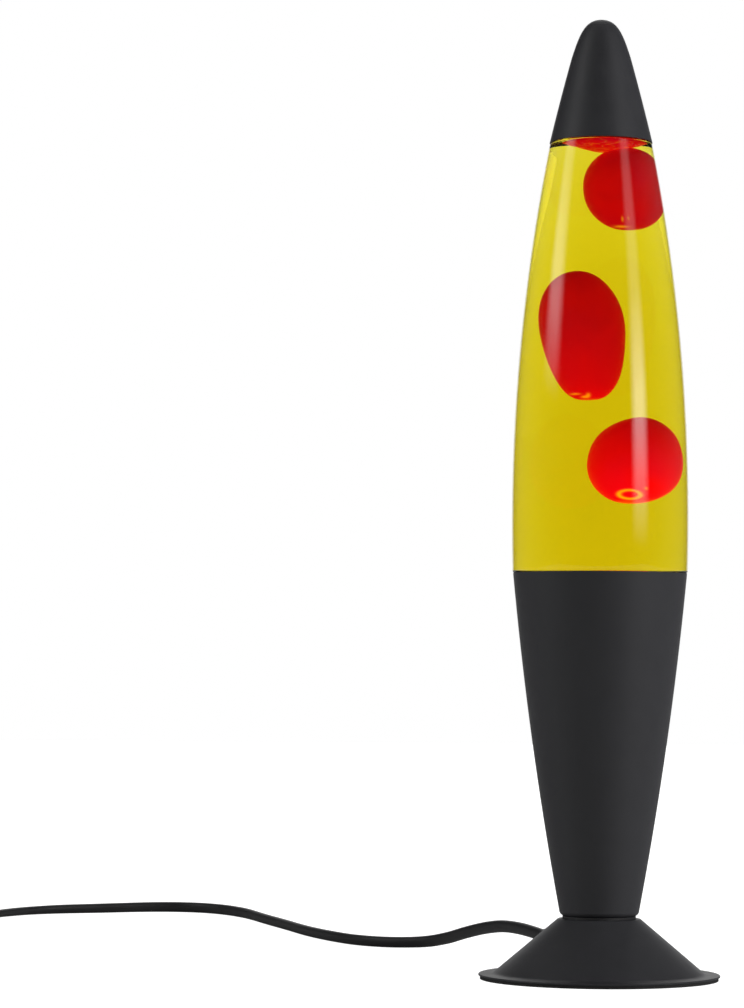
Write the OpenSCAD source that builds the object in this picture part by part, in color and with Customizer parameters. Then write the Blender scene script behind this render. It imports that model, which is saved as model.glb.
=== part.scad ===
// Lava lamp: a glass bottle of liquid and wax on a hollow metal base with a reflector bulb,
// under a metal cap, with a flat lead, an in-line switch and a two-pin plug.
// Origin at the middle of the foot's underside, +Z up, the lead leaves at the back (+Y) left (-X).

/* [Base] */
// Height of the base, from the table to the rim that carries the bottle
base_h = 168; // [166:0.5:170]
// Outer diameter of the foot's flange
foot_d = 100; // [97:1:106]
// Outer diameter of the base cone at its rim
rim_d = 72.3; // [71.9:0.1:72.5]
// Height of the foot, up to the neck
foot_h = 25.1; // [25:0.1:25.3]
// Thickness of the spun sheet metal
sheet = 0.9; // [0.8:0.05:1]

/* [Bottle] */
// Widest diameter of the bottle
glass_d = 73.5; // [73.3:0.1:73.9]
// Height of glass that shows between the base and the cap
glass_h = 180; // [178:0.5:182]
// Thickness of the glass
glass_wall = 2.4; // [2.2:0.1:2.6]

/* [Cap] */
// Height of the cap
cap_h = 52; // [50:0.5:56]
// Outer diameter of the cap at its rim
cap_d = 43; // [42.8:0.1:43.2]

/* [Lead] */
// Width of the flat lead
lead_w = 5.4; // [5.2:0.1:5.6]
// Thickness of the flat lead
lead_t = 3.4; // [3.2:0.1:3.6]
// Turns of spare lead in the coil
coil_turns = 4; // [2:1:4]

/* [Hidden] */
$fn = 72;

// Colours of the finishes
paint = "#2b2b2d";
pvc = "#232325";
steel = "#a8abae";
brass = "#c2a256";
nickel = "#c9c9c4";
phenolic = "#1d1a18";
wax_red = "#c80a12";
clear = [0.95, 0.96, 0.95, 0.25];
yellow = [0.93, 0.82, 0.1, 0.4];

seat_gap = 0.1;                   // clearance under the bottle's shoulder
skin = 0.1;                       // clearance between still pieces with curved faces
tall = 400;                       // longer than anything that it cuts

// Foot
foot_r = foot_d / 2;
flange_z = 2.2;                   // top of the flange
foot_top_r = 17;                  // where the cone would meet the foot's flat top
foot_run = 1.185;                 // how far the cone widens for each mm that it falls
foot_a = atan(1 / foot_run);      // slope of the foot's wall below the horizontal
pipe_hole_r = 5.2;
neck_z = foot_h + 1;              // underside of the base cone

// Base cone
cone_z0 = neck_z + 2.4;           // where the wall starts above its rounded bottom edge
cone_r0 = 16.6;
cone_bulge = 1.6;                 // how far the wall bellies out past a straight cone
rim_r = rim_d / 2;

// Bottle
glass_arc = 805;                  // radius of the bottle's long side, as seen from the side
wide_z = base_h + 23;             // height of the widest place
cap_z = base_h + glass_h;         // the cap's rim
bottle_z = base_h - 42;           // underside of the bottle
floor_z = bottle_z + 3.6;         // inside floor of the bottle
crown_z = cap_z + 14;             // top of the crown cap

// Bulb and holder
tip_z = 45.6;                     // lowest point of the bulb
face_z = tip_z + 67;              // the bulb's face

// Lead
lead_a = 115;                     // direction in which the lead leaves, from +X
exit_z = 12;
exit_r = foot_top_r + (foot_h - exit_z) * foot_run;
exit_tilt = 5;                    // the lead rises a little as it leaves
relief_l = 20;                    // length of the bushing's tapered strain relief
switch_at = [-330, 254, 0];
switch_l = 62;
coil_at = [-362.3, 148, 0];
coil_r = 28.7;                    // middle of the turns
coil_w = (lead_t + 0.2) * coil_turns / 2 + lead_t + 1.2;   // two layers, each of half the turns
coil_hgt = 2 * lead_w + 0.2;
coil_lift = 0.6;                  // the tie's thickness lies under the coil
plug_at = [-330, 35, 6.85];       // middle of the plug's cord end
plug_l = 26;
pin_gap = 18.6;
pin_l = 19;                       // how far the pins stand out of the plug
pin_in = 9;                       // how far they go into it
pin_bare = 9;                     // bare metal at a pin's end
pin_r = 2;
sleeve_r = 1.8;
core_r = 1.5;                     // the pin inside its sleeve

// Points of the lead from the foot to the switch: x, y, z and the roll of its wide side
lead_route = [
    [-23.2, 49.8, 14, 85], [-28.5, 61.5, 14.9, 85], [-35, 76, 15.5, 85], [-42.5, 92, 15.2, 86],
    [-51, 108, 13.2, 86], [-60, 124, 10, 84], [-69, 141, 6.3, 78], [-80, 154, 3.6, 64],
    [-96, 163, 2.6, 55], [-112, 176, 2.5, 58], [-126, 199, 2.6, 62], [-140, 232, 2.6, 64],
    [-153, 271, 2.6, 66], [-167, 312, 2.6, 68], [-179, 348, 2.7, 76], [-187, 367, 2.7, 78],
    [-197, 384, 2.7, 80], [-209, 396, 2.7, 78], [-223, 401, 2.7, 74], [-238, 398.5, 2.7, 66],
    [-253, 392, 2.6, 58], [-268, 386, 2.4, 52], [-283, 379, 2.3, 44], [-296, 368, 2.1, 36],
    [-305, 352, 2.1, 28], [-312, 334, 2, 22], [-319, 316, 2.3, 16], [-326, 300, 3.6, 8],
    [-330, 285.5, 4.8, 0]
];
mid_route = [
    [-330, 222.5, 4.8, 0], [-330, 208, 2.8, 30], [-330, 188, 2.8, 60], [-330, 168, 2.9, 84],
    [-330, 152, 3.2, 90]
];
tail_route = [
    [-330, 144, 8.9, 90], [-330, 123, 6.2, 80], [-330, 101, 3.4, 60], [-330, 79, 2.6, 40],
    [-330, 61, 3.6, 18], [-330, 47.4, 6.8, 0]
];
inner_z = exit_z - (exit_r - 13) * tan(exit_tilt);   // height of the lead's end in the foot
wire_r = 1;

// Helpers
function lerp(a, b, t) = a + (b - a) * t;
function arc(c, r, a0, a1, n = 8) =
    [for (i = [0:n]) c + r * [cos(lerp(a0, a1, i / n)), sin(lerp(a0, a1, i / n))]];
function bezier(a, b, c, d, n = 12, first = 0) =
    [for (i = [first:n]) let (t = i / n, s = 1 - t)
        a * s * s * s + 3 * b * s * s * t + 3 * c * s * t * t + d * t * t * t];
function unit(v) = v / norm(v);
function xyz(p) = [p[0], p[1], p[2]];
function flip(p) = [for (i = [len(p) - 1:-1:0]) p[i]];

// A smooth curve through points p, with n steps between each pair
function between(a, b, c, d, t) =
    b + (c - a) * t / 2 + (2 * a - 5 * b + 4 * c - d) * t * t / 2
    + (3 * b - a - 3 * c + d) * t * t * t / 2;
function smooth(p, n) = concat(
    [for (i = [0:len(p) - 2], k = [0:n - 1]) between(
        i == 0 ? 2 * p[0] - p[1] : p[i - 1], p[i], p[i + 1],
        i == len(p) - 2 ? 2 * p[i + 1] - p[i] : p[i + 2], k / n)],
    [p[len(p) - 1]]);

// A closed tube along points p, whose section is an oval of half sizes ax and ay.
// A point's fourth number rolls the section, and side is never parallel to the tube.
module tube(p, ax, ay, sides, side = [0, 0, 1]) {
    n = len(p);
    rings = [for (i = [0:n - 1])
        let (
            ahead = unit(xyz(p[min(i + 1, n - 1)]) - xyz(p[max(i - 1, 0)])),
            u = unit(cross(ahead, side)),
            v = cross(u, ahead),
            roll = len(p[i]) > 3 ? p[i][3] : 0)
        for (k = [0:sides - 1])
            let (
                a = 360 * k / sides,
                across = ax * cos(a) * cos(roll) - ay * sin(a) * sin(roll),
                up = ax * cos(a) * sin(roll) + ay * sin(a) * cos(roll))
            xyz(p[i]) + u * across + v * up];
    walls = [for (i = [0:n - 2], k = [0:sides - 1])
        let (a = i * sides + k, b = i * sides + (k + 1) % sides)
        each [[a, a + sides, b], [b, a + sides, b + sides]]];
    caps = [for (k = [1:sides - 2])
        each [[0, k, k + 1], [(n - 1) * sides, (n - 1) * sides + k + 1, (n - 1) * sides + k]]];
    polyhedron(points = rings, faces = concat(walls, caps));
}

module spun(points) { rotate_extrude() polygon(points); }
module tube_ring(r_out, r_in, h) {
    difference() {
        cylinder(r = r_out, h = h);
        translate([0, 0, -1]) cylinder(r = r_in, h = h + 2);
    }
}
module hex_nut(flats, h, r_bore) {
    difference() {
        cylinder(d = flats / cos(30), h = h, $fn = 6);
        translate([0, 0, -1]) cylinder(r = r_bore, h = h + 2);
    }
}
// A flat bar with rounded ends, w long and t thick, along +Z
module slot_bar(w, t, h) {
    linear_extrude(h) {
        square([w - t, t], center = true);
        for (s = [-1, 1]) translate([s * (w - t) / 2, 0]) circle(d = t);
    }
}
// Pan-head screw with its head down at z = 0
module pan_screw(r_head, h_head, r_shank, l) {
    difference() {
        union() {
            cylinder(r = r_head, h = h_head);
            cylinder(r = r_shank, h = l);
        }
        for (a = [0, 90]) rotate(a) translate([-r_head * 0.6, -0.3, -1])
            cube([r_head * 1.2, 0.6, 1.5]);
    }
}
// Places its children at the lead's exit: +X outward along the lead, +Z up
module at_exit() {
    rotate(lead_a) translate([exit_r, 0, exit_z]) rotate([0, -exit_tilt, 0]) children();
}

// Foot
foot_c1 = [foot_top_r - 1.5 * tan(foot_a / 2), foot_h - 1.5];
foot_corner = foot_top_r + (foot_h - flange_z) * foot_run;
foot_c2 = [foot_corner + 3 * tan(foot_a / 2), flange_z + 3];
function foot_side(off) = concat(
    arc(foot_c1, 1.5 + off, 90, 90 - foot_a, 6), arc(foot_c2, 3 - off, 270 - foot_a, 270, 8));

module foot() {
    color(paint) difference() {
        spun(concat(
            [[pipe_hole_r, foot_h]], foot_side(0),
            arc([foot_r - sheet / 2, flange_z - sheet / 2], sheet / 2, 90, -90, 6),
            flip(foot_side(-sheet)), [[pipe_hole_r, foot_h - sheet]]));
        at_exit() rotate([0, 90, 0]) cylinder(r = 4.4, h = 24, center = true);
    }
}

module foot_pad() {
    color("#161616") tube_ring(foot_r - 0.7, foot_c2[0] + 0.4, flange_z - sheet);
}

cover_r = foot_c2[0] - 3;
screw_x = 19;
module bottom_cover() {
    color("#222222") difference() {
        union() {
            translate([0, 0, 0.5]) cylinder(r = cover_r, h = 1.5);
            translate([0, 0, 1.9]) tube_ring(cover_r - 3.6, cover_r - 5, 2.4);
            for (s = [-1, 1]) translate([s * screw_x, 0, 1.9]) cylinder(r = 3.4, h = 2.1);
        }
        for (s = [-1, 1]) translate([s * screw_x, 0, 0]) {
            cylinder(r = 1.7, h = 6);
            cylinder(r = 3, h = 2.2);
        }
    }
}

module cover_screws() {
    color(steel) for (s = [-1, 1]) translate([s * screw_x, 0, 0.6]) pan_screw(2.7, 1.5, 1.45, 6.4);
}

bracket_top = foot_h - sheet;
module mounting_bracket() {
    color(steel) difference() {
        union() {
            translate([-14, -6, bracket_top - 1.5]) cube([28, 12, 1.5]);
            for (s = [-1, 1]) {
                translate([s * 13.25 - 0.75, -6, 4]) cube([1.5, 12, bracket_top - 4]);
                translate([s * 18.25 - 4.5, -6, 4]) cube([9, 12, 1.5]);
            }
        }
        cylinder(r = pipe_hole_r, h = tall);
        for (s = [-1, 1]) translate([s * screw_x, 0, 0]) cylinder(r = 1.5, h = 8);
    }
}

pipe_z0 = 15;
pipe_z1 = 38;
pipe_pitch = 1;
module threaded_pipe() {
    rings = floor((pipe_z1 - pipe_z0 - 1) / pipe_pitch);
    color(steel) spun(concat(
        [[4, pipe_z0], [4.4, pipe_z0]],
        [for (i = [0:rings - 1]) each [
            [4.5, pipe_z0 + 0.5 + i * pipe_pitch], [5, pipe_z0 + 1 + i * pipe_pitch]]],
        [[4.5, pipe_z1 - 0.5], [4.4, pipe_z1], [4, pipe_z1]]));
}

washer_h = 0.8;
nut_h = 3;
low_washer_z = bracket_top - 1.5 - washer_h;
top_washer_z = neck_z + sheet;
module pipe_nuts() {
    color(steel) for (z = [low_washer_z - nut_h, top_washer_z + washer_h])
        translate([0, 0, z]) hex_nut(14, nut_h, 5.05);
}

module pipe_washers() {
    color(steel) for (z = [low_washer_z, top_washer_z]) translate([0, 0, z]) tube_ring(8.5, 5.2, washer_h);
}

module neck_spacer() {
    color("#121212") translate([0, 0, foot_h]) tube_ring(15.2, 5.2, neck_z - foot_h);
}

// Base cone
function cone_t(z) = (z - cone_z0) / (base_h - cone_z0);
function cone_r(z) = lerp(cone_r0, rim_r, cone_t(z)) + 4 * cone_bulge * cone_t(z) * (1 - cone_t(z));
function cone_wall(off, n = 18) =
    [for (i = [1:n]) let (z = lerp(cone_z0, base_h, i / n)) [cone_r(z) - off, z]];
module body_cone() {
    edge = [cone_r0 - 2.4, cone_z0];
    color(paint) spun(concat(
        [[pipe_hole_r, neck_z]], arc(edge, 2.4, -90, 0, 6), cone_wall(0),
        flip(cone_wall(sheet)), arc(edge, 2.4 - sheet, 0, -90, 6), [[pipe_hole_r, neck_z + sheet]]));
}

// Lampholder
holder_z = top_washer_z + washer_h + nut_h + 0.2;
core_z = pipe_z1 + 0.6;
module holder_cap() {
    color(phenolic) spun(concat(
        [[5.05, holder_z], [8, holder_z]], arc([10.8, holder_z + 3], 3, -90, 0, 6),
        [[13.8, core_z], [11.4, core_z], [11.4, core_z - 2.4], [5.05, core_z - 2.4]]));
}

module holder_skirt() {
    color(phenolic) translate([0, 0, core_z]) difference() {
        union() {
            cylinder(r = 13.8, h = 26);
            for (a = [0:20:340]) rotate(a) translate([13.6, 0, 2]) cylinder(r = 0.6, h = 10);
        }
        translate([0, 0, -1]) cylinder(r = 11.4, h = 24.6);
        cylinder(r = 9, h = 30);
    }
}

module holder_core() {
    color("#e8e4d8") translate([0, 0, core_z - 2]) difference() {
        cylinder(r = 11.1, h = 7);
        for (s = [-1, 1]) translate([s * 8, 0, -1]) cylinder(r = 1.5, h = 9);
        translate([0, 0, 4.9]) cylinder(r = 8, h = 4);
        translate([0, 0, -1]) cylinder(r = 5.4, h = 2.8);
        translate([-9, -1.8, 1.4]) cube([18, 3.6, 2.7]);
    }
}

shell_z = core_z + 3.1;
module holder_shell() {
    rings = 6;
    step = 2.82;
    color(brass) translate([0, 0, shell_z]) spun(concat(
        [for (i = [0:rings * 2]) [i % 2 == 0 ? 7.9 : 7.4, i * step / 2]],
        [for (i = [rings * 2:-1:0]) [i % 2 == 0 ? 7.6 : 7.1, i * step / 2]]));
}

module holder_contact() {
    color(brass) {
        translate([-2.5, -2, core_z + 2.9]) cube([8.5, 4, 0.4]);
        translate([-2.5, -2, core_z + 2.9]) cube([0.4, 4, 3]);
        translate([-2.5, -2, core_z + 5.5]) cube([5, 4, 0.4]);
    }
}

module terminal_screws() {
    color(brass) for (s = [-1, 1]) translate([s * 8, 0, core_z - 2.2]) {
        cylinder(r = 1.4, h = 5);
        translate([0, 0, -0.2]) cylinder(r = 2.4, h = 0.4);
    }
}

// Bulb
neck_r = 6.2;
bulb_r = 19.5;
bulb_z0 = tip_z + 20;
function bulb_side(off) = concat(
    [[neck_r - off, bulb_z0]],
    bezier([neck_r - off, bulb_z0 + 2], [neck_r + 1 - off, bulb_z0 + 11],
        [bulb_r - off, bulb_z0 + 15], [bulb_r - off, bulb_z0 + 32], 12));
function bulb_face(off) = bezier([bulb_r - off, bulb_z0 + 32], [bulb_r - off, face_z - 5 - off],
    [bulb_r - 5, face_z - off], [0, face_z - off], 12, 1);
module bulb_glass() {
    color([0.9, 0.92, 0.93, 0.35]) spun(concat(
        bulb_side(0), bulb_face(0), flip(bulb_face(0.8)), flip(bulb_side(0.8))));
}

module bulb_reflector() {
    color("#dcdcdc") spun(concat(bulb_side(0.9), flip(bulb_side(1.15))));
}

module bulb_shell() {
    rings = 6;
    step = 2.82;
    z = tip_z + 3.4;
    color(nickel) spun(concat(
        [[5.6, z - 0.6]], [for (i = [0:rings * 2]) [i % 2 == 0 ? 6.5 : 6.9, z + i * step / 2]],
        [[6.6, z + rings * step + 0.6], [6.35, z + rings * step + 0.6]],
        [for (i = [rings * 2:-1:0]) [i % 2 == 0 ? 6.3 : 6.7, z + i * step / 2]], [[5.4, z - 0.4]]));
}

module bulb_insulator() {
    color("#17141a") spun([
        [2.5, tip_z + 1.2], [2.9, tip_z + 0.9], [5.3, tip_z + 2.6], [5.3, tip_z + 4], [2.5, tip_z + 4]]);
}

module bulb_tip() {
    color(nickel) spun(concat([[0, tip_z]], arc([1, tip_z + 1], 1, -90, 0, 4),
        [[2.4, tip_z + 1.2], [2.4, tip_z + 4], [0, tip_z + 4]]));
}

module bulb_stem() {
    color([0.85, 0.88, 0.9, 0.5]) {
        translate([0, 0, tip_z + 12]) cylinder(r1 = 4, r2 = 1.6, h = 12);
        translate([0, 0, tip_z + 24]) cylinder(r = 1.5, h = 8);
    }
    color(steel) for (s = [-1, 1]) translate([s, 0, tip_z + 31]) rotate([0, s * 24, 0])
        cylinder(r = 0.25, h = 12.4);
}

module bulb_filament() {
    turns = 16;
    steps = 6;
    span = 12.4;
    color("#6e6a66") tube(
        [for (i = [0:turns * steps])
            let (t = i / (turns * steps), a = 360 * i / steps)
            [lerp(-span, span, t) / 2, 0.55 * cos(a), tip_z + 43 + 1.6 * sin(180 * t) + 0.55 * sin(a)]],
        0.14, 0.14, 4, [0, 0, 1]);
}

// Bottle
function glass_r(z) = glass_d / 2 - glass_arc + sqrt(glass_arc * glass_arc - (z - wide_z) * (z - wide_z));
function glass_side(off, z0, z1, n) = [for (i = [0:n]) let (z = lerp(z0, z1, i / n)) [glass_r(z) - off, z]];
shoulder_z = base_h + seat_gap;   // the bottle's shoulder sits on the base's rim
shoulder_r = 1;                   // rounding of the shoulder's lower edge
side_z0 = shoulder_z + shoulder_r;
side_z1 = cap_z - 1.2;
tail_r = 30.6;                    // the hidden lower end, just above its rounded heel
seat_r = glass_r(shoulder_z) - 2.2;
mouth_r = 8.4;
module bottle_glass() {
    color(clear) spun(concat(
        [[0, bottle_z + 1.6]],
        bezier([10, bottle_z + 1.4], [16, bottle_z + 1.2], [18, bottle_z], [22, bottle_z], 6),
        arc([tail_r - 4.4, bottle_z + 4.2], 4.2, -90, 0, 8), [[seat_r - 0.3, base_h - 4]],
        arc([seat_r + 0.4, shoulder_z - 0.7], 0.7, 180, 90, 4),
        arc([glass_r(side_z0) - shoulder_r, side_z0], shoulder_r, -80, 0, 8),
        glass_side(0, side_z0 + 4, side_z1, 40),
        arc([glass_r(side_z1) - 0.8, side_z1], 0.8, 0, 90, 4),
        [[19.5, side_z1 + 0.8]],
        bezier([19.3, cap_z + 1.4], [18.9, cap_z + 3.4], [13.4, cap_z + 2.6], [12.4, cap_z + 6], 8),
        [[12.4, crown_z - 5.4], [13.3, crown_z - 5], [13.3, crown_z - 3.4], [12.9, crown_z - 2.6]],
        arc([11.4, crown_z - 2.1], 1.5, 0, 90, 4),
        arc([9.4, crown_z - 1.6], 1, 90, 180, 4),
        bezier([mouth_r, cap_z + 6], [mouth_r, cap_z + 3.5], [11, cap_z + 1.8], [14, cap_z + 1.4], 6),
        bezier([14, cap_z + 1.4], [17, cap_z + 1], [18.6, cap_z - 0.6],
            [glass_r(cap_z - 5) - glass_wall, cap_z - 5], 8, 1),
        flip(glass_side(glass_wall, side_z0 + 4, cap_z - 8, 37)),
        [[seat_r - glass_wall + 0.4, base_h - 3]],
        arc([tail_r - 7.4, floor_z + 5], 5, 0, -90, 8), [[0, floor_z + 0.6]]));
}

liquid_z = cap_z - 0.6;           // the liquid's surface
liquid_top_r = 17.5;
function liquid_outline() = concat(
    [[0, floor_z + 0.6 + skin]],
    arc([tail_r - 7.4, floor_z + 5], 5 - skin, -90, 0, 8),
    [[seat_r - glass_wall + 0.4 - skin, base_h - 3]],
    glass_side(glass_wall + skin, side_z0 + 4, cap_z - 8, 37),
    bezier([glass_r(cap_z - 5) - glass_wall - skin, cap_z - 5], [glass_r(cap_z - 5) - 3.1, cap_z - 3],
        [18.3, cap_z - 1.6], [liquid_top_r, liquid_z], 6),
    [[0, liquid_z]]);

// Each blob: where its middle is, its half width, its half height, how top-heavy it is,
// how blunt its lower half is (1 is round, less is blunter) and how far it leans for each mm up
low_blob = [[11.1, 0, base_h + 46.2], 15.2, 17.8, -0.05, 1, 0.05];
mid_blob = [[-5.2, 0, base_h + 97.4], 13, 26.8, 0.16, 0.8, -0.05];
high_blob = [[8.1, 0, base_h + 158.8], 13.6, 17.6, 0.04, 0.95, 0];
blob_slack = 0.3;
blob_rings = 28;
function blob_side(b, grow) =
    [for (i = [0:blob_rings])
        let (a = -90 + i * 180 / blob_rings, round = pow(abs(cos(a)), a < 0 ? b[4] : 1))
        [(b[1] + grow) * round * (1 + b[3] * sin(a)), (b[2] + grow) * sin(a)]];
module blob(b, grow) {
    translate(b[0]) multmatrix([[1, 0, b[5], 0], [0, 1, 0, 0], [0, 0, 1, 0]]) spun(blob_side(b, grow));
}

pool_z = base_h - 17;             // top of the wax lying in the bottle
spring_r = 20.5;                  // middle of the wire spring's ring
spring_coil_r = 2.6;
wire_coil_r = 0.45;
spring_z = floor_z + 0.8 + spring_coil_r + wire_coil_r + 0.3;
function pool_outline(off) = concat(
    [[0, floor_z + 0.6 + skin]],
    arc([tail_r - 7.4, floor_z + 5], 5 - skin - off, -90, 0, 8),
    [[tail_r - 2.4 + (pool_z - 9 - floor_z - 5) * 0.105 - skin - off, pool_z - 9]],
    bezier([tail_r - 2.4 + (pool_z - 9 - floor_z - 5) * 0.105 - skin - off, pool_z - 9], [26, pool_z - 3],
        [15, pool_z], [0, pool_z], 8, 1));

module spring_space(grow) {
    translate([0, 0, spring_z]) rotate_extrude() translate([spring_r, 0])
        circle(r = spring_coil_r + wire_coil_r + grow, $fn = 24);
}

module lamp_liquid() {
    color(yellow) difference() {
        spun(liquid_outline());
        spun(concat(
            [[0, floor_z - 3], [60, floor_z - 3], [60, pool_z - 9 - skin]],
            bezier([tail_r + 4, pool_z - 9], [26 + skin, pool_z - 3 + skin],
                [15, pool_z + skin], [0, pool_z + skin], 8)));
        for (b = [low_blob, mid_blob, high_blob]) blob(b, blob_slack);
        slick(skin);
    }
}

module wax_pool() {
    color(wax_red) difference() {
        spun(pool_outline(skin));
        spring_space(0.2);
    }
}

module wax_coil() {
    turns = 26;
    steps = 8;
    color(steel) tube(
        [for (i = [0:turns * steps - 3])
            let (a = 360 * i / (turns * steps), b = 360 * i / steps, r = spring_r + spring_coil_r * cos(b))
            [r * cos(a), r * sin(a), spring_z + spring_coil_r * sin(b)]],
        wire_coil_r, wire_coil_r, 5, [0, 0, 1]);
}

module slick(grow) {
    translate([1.2, 0, liquid_z - 0.3]) spun(concat(
        [[0, grow], [12.8 + grow, grow]],
        bezier([12.8 + grow, -0.5], [10.5 + grow, -1.6], [6, -2.8 - grow], [0, -3.2 - grow], 6)));
}

module wax_slick() {
    color(wax_red) difference() {
        slick(0);
        blob(high_blob, blob_slack);
    }
}

module wax_blob_low() { color(wax_red) blob(low_blob, 0); }
module wax_blob_mid() { color(wax_red) blob(mid_blob, 0); }
module wax_blob_high() { color(wax_red) blob(high_blob, 0); }

module crown_cap() {
    flutes = 21;
    color("#c8b878") difference() {
        spun(concat(
            [[0, crown_z]], arc([13.2, crown_z - 1.4], 1.4, 90, 20, 4),
            [[15.6, crown_z - 5.8], [15.2, crown_z - 5.8]],
            arc([13.2, crown_z - 1.4], 1.1, 20, 90, 4), [[0, crown_z - 0.3]]));
        for (i = [0:flutes - 1]) rotate(i * 360 / flutes) translate([16.2, 0, crown_z - 6.4])
            cylinder(r = 1, h = 3.2, $fn = 24);
    }
}

module crown_liner() {
    color("#e9e6da") translate([0, 0, crown_z - 0.55]) cylinder(r = 12.6, h = 0.2);
}

// Cap
cap_r = cap_d / 2;
cap_wall = 1;
cap_top = cap_z + cap_h;
function cap_side(off) = concat(
    [for (i = [0:8]) let (t = i / 8)
        [lerp(cap_r, 12.4, t) + 0.68 * t * (1 - t) - off, lerp(cap_z, cap_top - 16.25, t)]],
    bezier([12.4 - off, cap_top - 16.25], [8.9 - off, cap_top - 5.1 - off], [6.6, cap_top - off],
        [0, cap_top - off], 12, 1));
module top_cap() {
    color(paint) spun(concat(cap_side(0), flip(cap_side(cap_wall))));
}

// Lead and what is on it
module lead_bore(l) { rotate([0, 90, 0]) slot_bar(lead_w + 0.1, lead_t + 0.1, l); }

module cord_bushing() {
    color("#1c1c1e") difference() {
        union() {
            at_exit() rotate([0, 90, 0]) translate([0, 0, -10]) cylinder(r = 4.2, h = 12.5);
            at_exit() rotate([0, 90, 0]) translate([0, 0, 2]) cylinder(r1 = 4.2, r2 = 3.4, h = relief_l);
            for (off = [[0.05, 1.5], [-sheet - 1.4, -sheet - 0.05]]) intersection() {
                spun(concat(foot_side(off[0]), flip(foot_side(off[1]))));
                at_exit() rotate([0, 90, 0]) translate([0, 0, -9]) cylinder(r = 6, h = 18);
            }
        }
        at_exit() translate([-20, 0, 0]) lead_bore(60);
        for (i = [0:3]) at_exit() translate([7 + 3.4 * i, 0, 0]) rotate([0, 90, 0])
            tube_ring(6, 3.55 - 0.1 * i, 1.2);
    }
}

lead_out = 2 + relief_l;          // where the lead comes out, past the foot's wall
lead_in = 13 - exit_r;            // where it ends inside the foot
module inner_cord() {
    color(pvc) at_exit() translate([lead_in, 0, 0]) rotate([0, 90, 0])
        slot_bar(lead_w, lead_t, lead_out - lead_in);
}

stop_x = -15;
module cord_stop() {
    color("#d8d4c4") at_exit() translate([stop_x, 0, 0]) difference() {
        translate([-3, -3.9, -5.6]) cube([6, 7.8, 11.2]);
        translate([-4, 0, 0]) lead_bore(8);
        for (s = [-1, 1]) translate([0, 5, s * 4.2]) rotate([90, 0, 0]) cylinder(r = 0.9, h = 10);
    }
}

module stop_screws() {
    color(steel) at_exit() for (s = [-1, 1]) translate([stop_x, -5.1, s * 4.2]) rotate([-90, 0, 0])
        pan_screw(1.3, 1.2, 0.85, 8);
}

module lead_wires() {
    away = [cos(lead_a), sin(lead_a), 0];
    side = [-sin(lead_a), cos(lead_a), 0];
    up = [0, 0, 1];
    for (s = [-1, 1]) color(s < 0 ? "#6b4a2c" : "#2c5fa8") tube(
        smooth([
            away * 12.6 + up * (inner_z + 1.3 * s),
            away * 9 + side * 0.5 * s + up * (inner_z + 1.2 * s),
            away * (4.4 - 0.5 * s) + side * 1.1 * s + up * (12.4 + 0.5 * s),
            away * 0.7 + side * 1.35 * s + up * (pipe_z0 + 2),
            side * 1.4 * s + up * 24, side * 1.4 * s + up * 34,
            [-2.4 * s, -0.5 * s, pipe_z1 + 0.4], [-4.6 * s, 0, pipe_z1 + 1.4],
            [-6.3 * s, 0, pipe_z1 + 1.5]], 4),
        wire_r, wire_r, 8, side);
}

module cord_lead() { color(pvc) tube(smooth(lead_route, 2), lead_w / 2, lead_t / 2, 10); }
module cord_mid() { color(pvc) tube(smooth(mid_route, 2), lead_w / 2, lead_t / 2, 10); }
module cord_tail() { color(pvc) tube(smooth(tail_route, 2), lead_w / 2, lead_t / 2, 10); }

module cord_coil() {
    color(pvc) translate(coil_at + [0, 0, coil_lift]) rotate_extrude()
        translate([coil_r - coil_w / 2, 0]) {
            translate([0, 1.7]) square([coil_w, coil_hgt - 3.4]);
            translate([1.7, 0]) square([coil_w - 3.4, coil_hgt]);
            for (x = [1.7, coil_w - 1.7], y = [1.7, coil_hgt - 1.7])
                translate([x, y]) circle(r = 1.7, $fn = 24);
        }
}

module coil_tie() {
    w = coil_w + 0.6;
    h = coil_hgt + 0.6;
    color("#2a2a2c") translate(coil_at + [-coil_r, 3, coil_lift + coil_hgt / 2]) rotate([90, 0, 0])
        linear_extrude(6) difference() {
            square([w + 1.2, h + 0.6], center = true);
            square([w, h - 0.6], center = true);
        }
}

// Switch, along Y, with the lead in at both ends
switch_w = 26;
switch_split = 8.2;
switch_h = 17;
rocker_z = 12.2;
rocker_tilt = 8;
module switch_outline(inset) {
    l = switch_l - 8 - 2 * inset;
    w = switch_w - 2 * inset;
    square([w, l - 12], center = true);
    square([w - 12, l], center = true);
    for (x = [-1, 1], y = [-1, 1]) translate([x * (w / 2 - 6), y * (l / 2 - 6)]) circle(r = 6);
}

module switch_snouts() {
    for (s = [-1, 1]) translate([0, s * (switch_l / 2 - 6), 5]) rotate([90, 0, 0])
        translate([0, 0, -6]) cylinder(r = 4.4, h = 12);
}

module switch_base() {
    color("#202022") translate(switch_at) difference() {
        union() {
            linear_extrude(switch_split) switch_outline(0);
            intersection() {
                switch_snouts();
                translate([-10, -50, 0]) cube([20, 100, 5]);
            }
        }
        translate([0, 0, 1.6]) linear_extrude(switch_split) switch_outline(1.8);
        for (s = [-1, 1]) translate([0, s * 36, 4.8]) rotate([s * 90, 0, 0])
            translate([0, 0, -5]) slot_bar(lead_w + 0.2, lead_t + 0.2, 17);
        for (s = [-1, 1]) translate([s * 9, 0, -1]) cylinder(r = 1.1, h = 6);
    }
    color("#202022") translate(switch_at) for (s = [-1, 1]) difference() {
        translate([s * 9, 0, 1.6]) cylinder(r = 2.4, h = 6.6);
        translate([s * 9, 0, -1]) cylinder(r = 1.1, h = 12);
    }
}

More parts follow.
